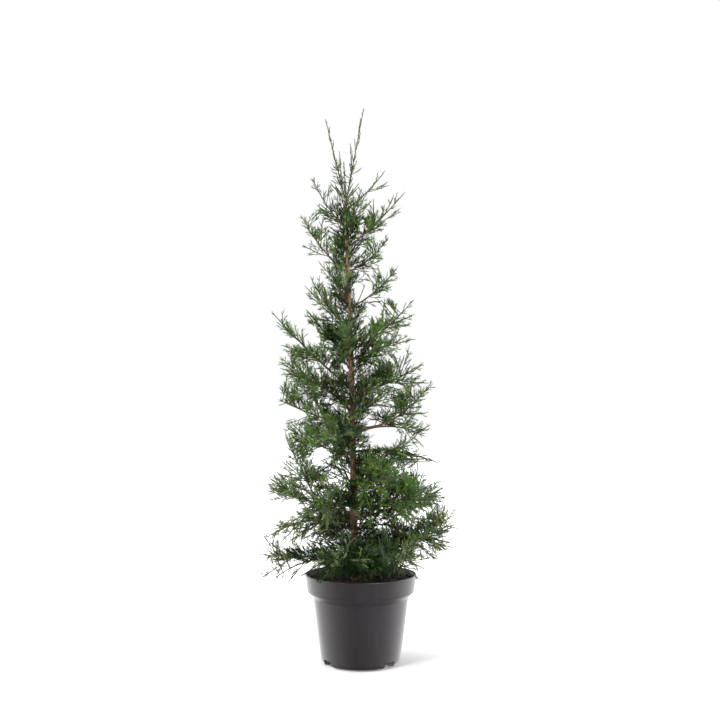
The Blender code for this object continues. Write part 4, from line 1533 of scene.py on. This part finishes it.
def tubes(twigs, radii, tip_share, rings):
    """Twigs as tapering three-sided tubes that curl with them, as (points, faces)."""
    side = unit(np.cross(twigs.courses, UP) + TINY)
    lift = np.cross(side, twigs.courses)
    corners = []
    for ring in range(rings):
        share = ring / (rings - 1)
        centre = curved(twigs, share)
        wide = radii * (1 - (1 - tip_share) * share)
        for corner in range(3):
            angle = 2 * math.pi * corner / 3
            edge = side * math.cos(angle) + lift * math.sin(angle)
            corners.append(centre + edge * wide[:, None])
    points = np.stack(corners, 1)
    faces = []
    for ring in range(rings - 1):
        for corner in range(3):
            a, b = 3 * ring + corner, 3 * ring + (corner + 1) % 3
            faces += [(a, a + 3, b + 3), (a, b + 3, b)]
    return points.reshape(-1, 3), copied_faces(np.array(faces), len(points), 3 * rings)


def place_sprays(shape, sides, sprays, dice):
    """Copies of a modelled spray, bent a little and turned about their own axes, as arrays."""
    starts, courses, lengths, _, _ = sprays
    copies = len(starts)
    across = unit(np.cross(UP, courses) + TINY)
    lift = np.cross(courses, across)
    roll = dice.uniform(-math.pi, math.pi, copies)[:, None]
    across, lift = across * np.cos(roll) + lift * np.sin(roll), lift * np.cos(roll) - across * np.sin(roll)
    scale = (lengths / SPRAY_SIZE)[:, None]
    bend = dice.uniform(*SPRAY_BEND, copies)[:, None]
    x = shape[None, :, 0] * scale
    y = shape[None, :, 1] * scale**SPRAY_SLIMNESS
    z = shape[None, :, 2] * scale**SPRAY_SLIMNESS
    points = starts[:, None] + x[..., None] * courses[:, None] + y[..., None] * across[:, None]
    points += z[..., None] * lift[:, None] + (bend * x**2 / lengths[:, None])[..., None] * UP
    return points.reshape(-1, 3), copied_faces(sides, copies, len(shape))


def deal_tones(starts, owners, dice):
    """The green of each twiglet: a deep green painted as shade within the crown and at its foot, lighter
    where the low front right is lit, fresh on some masses, cool low down.
    """
    plain = np.array([bough.name not in FRESH_MASSES for bough in BOUGHS])[owners]
    level = np.clip(starts[:, 2], TRUNK_FOOT, TRUNK_TOP)
    width = crown_width(np.maximum(level, CROWN_FOOT))
    off_trunk = starts[:, :2] - trunk_point(level)[:, :2]
    out = np.linalg.norm(off_trunk, axis=1) / width
    right = off_trunk[:, 0] > LIT_ASIDE
    upper = level >= LOWER_CROWN
    opener = within(level, *OPENER_MIDDLE)
    foot = level < LOWEST_GROWTH
    # The heart, low and foot zones get the painted shade; the lit zone is where it gives way to lighter
    # greens
    zones = {
        "anywhere": level > 0,
        "fresh ring": ~plain & within(out, *FRESH_RING),
        "plain": plain,
        "lower crown": ~upper,
        "lower shell": ~upper & plain & (out > SHELL),
        "upper crown": upper,
        "opener heart": opener & (out < HEART),
        "heart": ~opener & (out < HEART),
        "low": level < LOW_GROWTH,
        "low inside": (level < LOW_GROWTH) & (out < SHELL),
        "foot right": foot & right & (out < FOOT_SHELL),
        "foot left": foot & ~right & (out < FOOT_SHELL),
        "foot at trunk": foot & (np.abs(off_trunk[:, 0]) / width < AT_TRUNK),
        "lit": (level < LIT_HEIGHT) & right & (starts[:, 1] < LIT_FRONT),
        "whips": level > WHIP_HEIGHT,
    }
    chance = dice.random(len(starts))
    tones = np.zeros(len(starts), dtype=int)
    for zone, least, most, tone, *replaced in TONE_RULES:
        held = zones[zone] & (chance >= least) & (chance < most)
        if replaced:
            held &= tones == replaced[0]
        tones[held] = tone
    return tones


def split_evenly(members, weights):
    """Members in order, split into as few runs as keep each run's weight under the piece limit."""
    runs, run, filled = [], [], 0
    fair = sum(weights) / math.ceil(sum(weights) / PIECE_TRIANGLES + PIECE_SPARE)
    for member, weight in zip(members, weights):
        if run and filled + weight / 2 > fair:
            runs.append(run)
            run, filled = [], 0
        run.append(member)
        filled += weight
    return [*runs, run]


def stem_steps():
    """The leafy part of each bough's stem in short steps, as twigs, with the foliage's girth at each."""
    steps, girths, ends = [], [], []
    for owner, bough in enumerate(BOUGHS):
        line = GUIDES[bough.name]
        leader = bough.name.startswith("leader")
        for step in range(GUIDE_STEPS):
            share = (step + 0.5) / GUIDE_STEPS
            first = 0.0 if leader else LEAFY_FROM.get(bough.name, max(bough.bare, FIRST_SPRAY))
            if share < first:
                continue
            ahead = line[step + 1] - line[step]
            reach = np.linalg.norm(ahead)
            steps.append((line[step], ahead / reach, reach, 0.0, owner))
            girths.append(bough.girth * plume_girth((share - first) / (1 - first)))
            ends.append(step == GUIDE_STEPS - 1)
    return Twigs(*(np.array(column) for column in zip(*steps))), np.array(girths), np.array(ends)


def grow_twigs(dice):
    """All side twigs and inner shoots."""
    grown = []
    for owner in range(len(BOUGHS)):
        grown += [(*twig, owner) for twig in side_twigs(owner)]
    grown += inner_shoots(dice)
    grown += filling_shoots(dice)
    grown += fork_whips()
    starts, courses, reaches, owners = (np.array(column) for column in zip(*grown))
    curls = dice.uniform(*CURL, len(owners)) + CURL_GROWTH * (starts[:, 2] - CROWN_FOOT)
    return Twigs(starts, courses, reaches, curls, owners)


def twiglets_on(stems, fewest, shares, reach_rule, dice):
    """Twiglets along stems; the rule gives their reach by their parent's number and their share."""
    rise = rise_at(stems.starts[:, 2])
    parent, share, start, course = branch(
        stems, TWIGLET_SPACING, fewest, shares, TWIGLET_LEANS, rise, dice
    )
    reach = reach_rule(parent, share) * dice.uniform(*TWIGLET_SPREAD, len(parent))
    return Twigs(start, course, reach, dice.uniform(*CURL, len(parent)), stems.owners[parent])


def grow_twiglets(twigs, dice):
    """Twiglets along the side twigs and along the boughs' own stems."""
    steps, girths, _ = stem_steps()

    def on_twigs(parent, share):
        reach = TWIGLET_PART * twigs.reaches[parent] * (TWIGLET_SHORTENING - share)
        return np.where(is_slim(twigs)[parent], SLIM_TWIGLET * reach, np.clip(reach, *TWIGLET_REACH))

    def on_stems(parent, share):
        girth = girths[parent]
        least = STEM_TWIGLET_LEAST * TWIGLET_REACH[0]
        reach = np.clip(STEM_TWIGLET_PART * girth, least, TWIGLET_REACH[1])
        slim_reach = np.clip(SLIM_STEM_TWIGLET_PART * girth, *SLIM_REACH)
        return np.where(is_slim(steps)[parent], slim_reach, reach)

    twiglets = together(
        twiglets_on(twigs, 3, TWIGLET_SHARES, on_twigs, dice),
        twiglets_on(steps, 1, (0, 1), on_stems, dice),
    )
    tips, middles, outer = (curved(twiglets, share) for share in (1.0, 0.5, SHOOT_MIDDLE))
    good = allowed(tips, twiglets.owners, FINE_MARGIN) & allowed(middles, twiglets.owners, FINE_MARGIN)
    good &= ~in_gap(outer, dice.random(len(good)))
    good &= ~before_trunk(outer) | (dice.random(len(good)) < SHOWN_TRUNK_CHANCE)
    return chosen(twiglets, good)


def tip_sprays(twigs, lengths):
    """A spray that carries each twig on past its end."""
    reach = np.clip(TIP_SPRAY_PART * twigs.reaches, *lengths)
    start = curved(twigs, 1 - TIP_SPRAY_OVERLAP * reach / np.maximum(twigs.reaches, reach))
    course = unit(curved(twigs, 1.0) - start)
    return Twigs(start, course, reach, 0 * reach, twigs.owners)


def grow_sprays(twigs, twiglets, dice):
    """The sprays along and at the ends of twiglets, twigs and boughs, with their greens and kinds."""
    steps, _, outermost = stem_steps()
    slim = is_slim(twiglets)
    leafy = chosen(twiglets, ~slim)
    parent, share, start, course = branch(
        leafy, SPRAY_STEP, 1, SPRAY_SHARES, SPRAY_LEANS, SPRAY_LIFT, dice
    )
    length = np.clip(SPRAY_PART * leafy.reaches[parent] * (SPRAY_SHORTENING - share), *SPRAY_LENGTHS)
    length *= dice.uniform(*SPRAY_SPREAD, len(parent))
    leafy_tones = deal_tones(leafy.starts, leafy.owners, dice)
    groups = [
        (Twigs(start, course, length, 0 * length, leafy.owners[parent]), leafy_tones[parent]),
        (tip_sprays(leafy, TWIGLET_TIPS), leafy_tones),
    ]
    whips = [
        tip_sprays(chosen(twiglets, slim), SLIM_TIPS),
        tip_sprays(twigs, TWIG_TIPS),
        tip_sprays(chosen(steps, outermost), BOUGH_TIPS),
    ]
    groups += [(group, deal_tones(group.starts, group.owners, dice)) for group in whips]
    sprays = together(*(group for group, _ in groups))
    tones = np.concatenate([dealt for _, dealt in groups])
    kinds = np.full(len(tones), WHIP)
    laced = len(parent) + len(leafy_tones)
    kinds[:laced] = np.where(dice.random(laced) < LACE_CHANCE, LACE, TUFT)
    ends = sprays.starts + sprays.courses * sprays.reaches[:, None]
    good = allowed(ends, sprays.owners, SPRAY_MARGIN)
    good &= ~before_trunk(ends) | (dice.random(len(good)) < SHOWN_TRUNK_CHANCE)
    return chosen(sprays, good), tones[good], kinds[good]


def make_foliage(young_wood):
    """The wood of the twigs and twiglets, and the sprays in pieces of one side's masses each."""
    dice = np.random.default_rng(FOLIAGE_SEED)
    twigs = grow_twigs(dice)
    twiglets = grow_twiglets(twigs, dice)
    sprays, tones, kinds = grow_sprays(twigs, twiglets, dice)
    for name, grown, shape in (("side_twigs", twigs, TWIG_WOOD), ("twiglets", twiglets, TWIGLET_WOOD)):
        least, growth, tip_share, rings = shape
        piece = array_piece(name, *tubes(grown, least + growth * grown.reaches, tip_share, rings))
        finish_piece(piece, [young_wood], [])

    masters = [make_spray(*kind) for kind in SPRAY_KINDS]
    greens = [surface(name, LEAF, sheen) for name, sheen in LEAVES]
    weights = np.array([len(sides) for _, sides in masters])[kinds]
    by_mass = np.bincount(sprays.owners, weights, len(BOUGHS))
    for side in ("left", "right", "front", "back", "leader"):
        members = [n for n, bough in enumerate(BOUGHS) if bough.name.startswith(side)]
        for part, run in enumerate(split_evenly(members, by_mass[members]), 1):
            mine = np.isin(sprays.owners, run)
            parts, paints = [], []
            for kind, (shape, sides) in enumerate(masters):
                those = mine & (kinds == kind)
                parts.append(place_sprays(shape, sides, chosen(sprays, those), dice))
                paints.append(np.repeat(tones[those], len(sides)))
            piece = array_piece(f"sprays_{side}_{part}", *merged(parts))
            finish_piece(piece, greens, ["foliage_" + BOUGHS[n].name for n in run])
            paints = np.concatenate(paints).astype(np.int32)
            piece.data.polygons.foreach_set("material_index", paints)


stage_set()
make_pot()
make_soil()
make_trunk()
YOUNG_WOOD = surface("young_wood", BARK)
make_boughs(YOUNG_WOOD)
make_foliage(YOUNG_WOOD)

boxes = {"cad": cad_box, "visual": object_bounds()}
{name: [list(map(float, corner)) for corner in box] for name, box in boxes.items()}
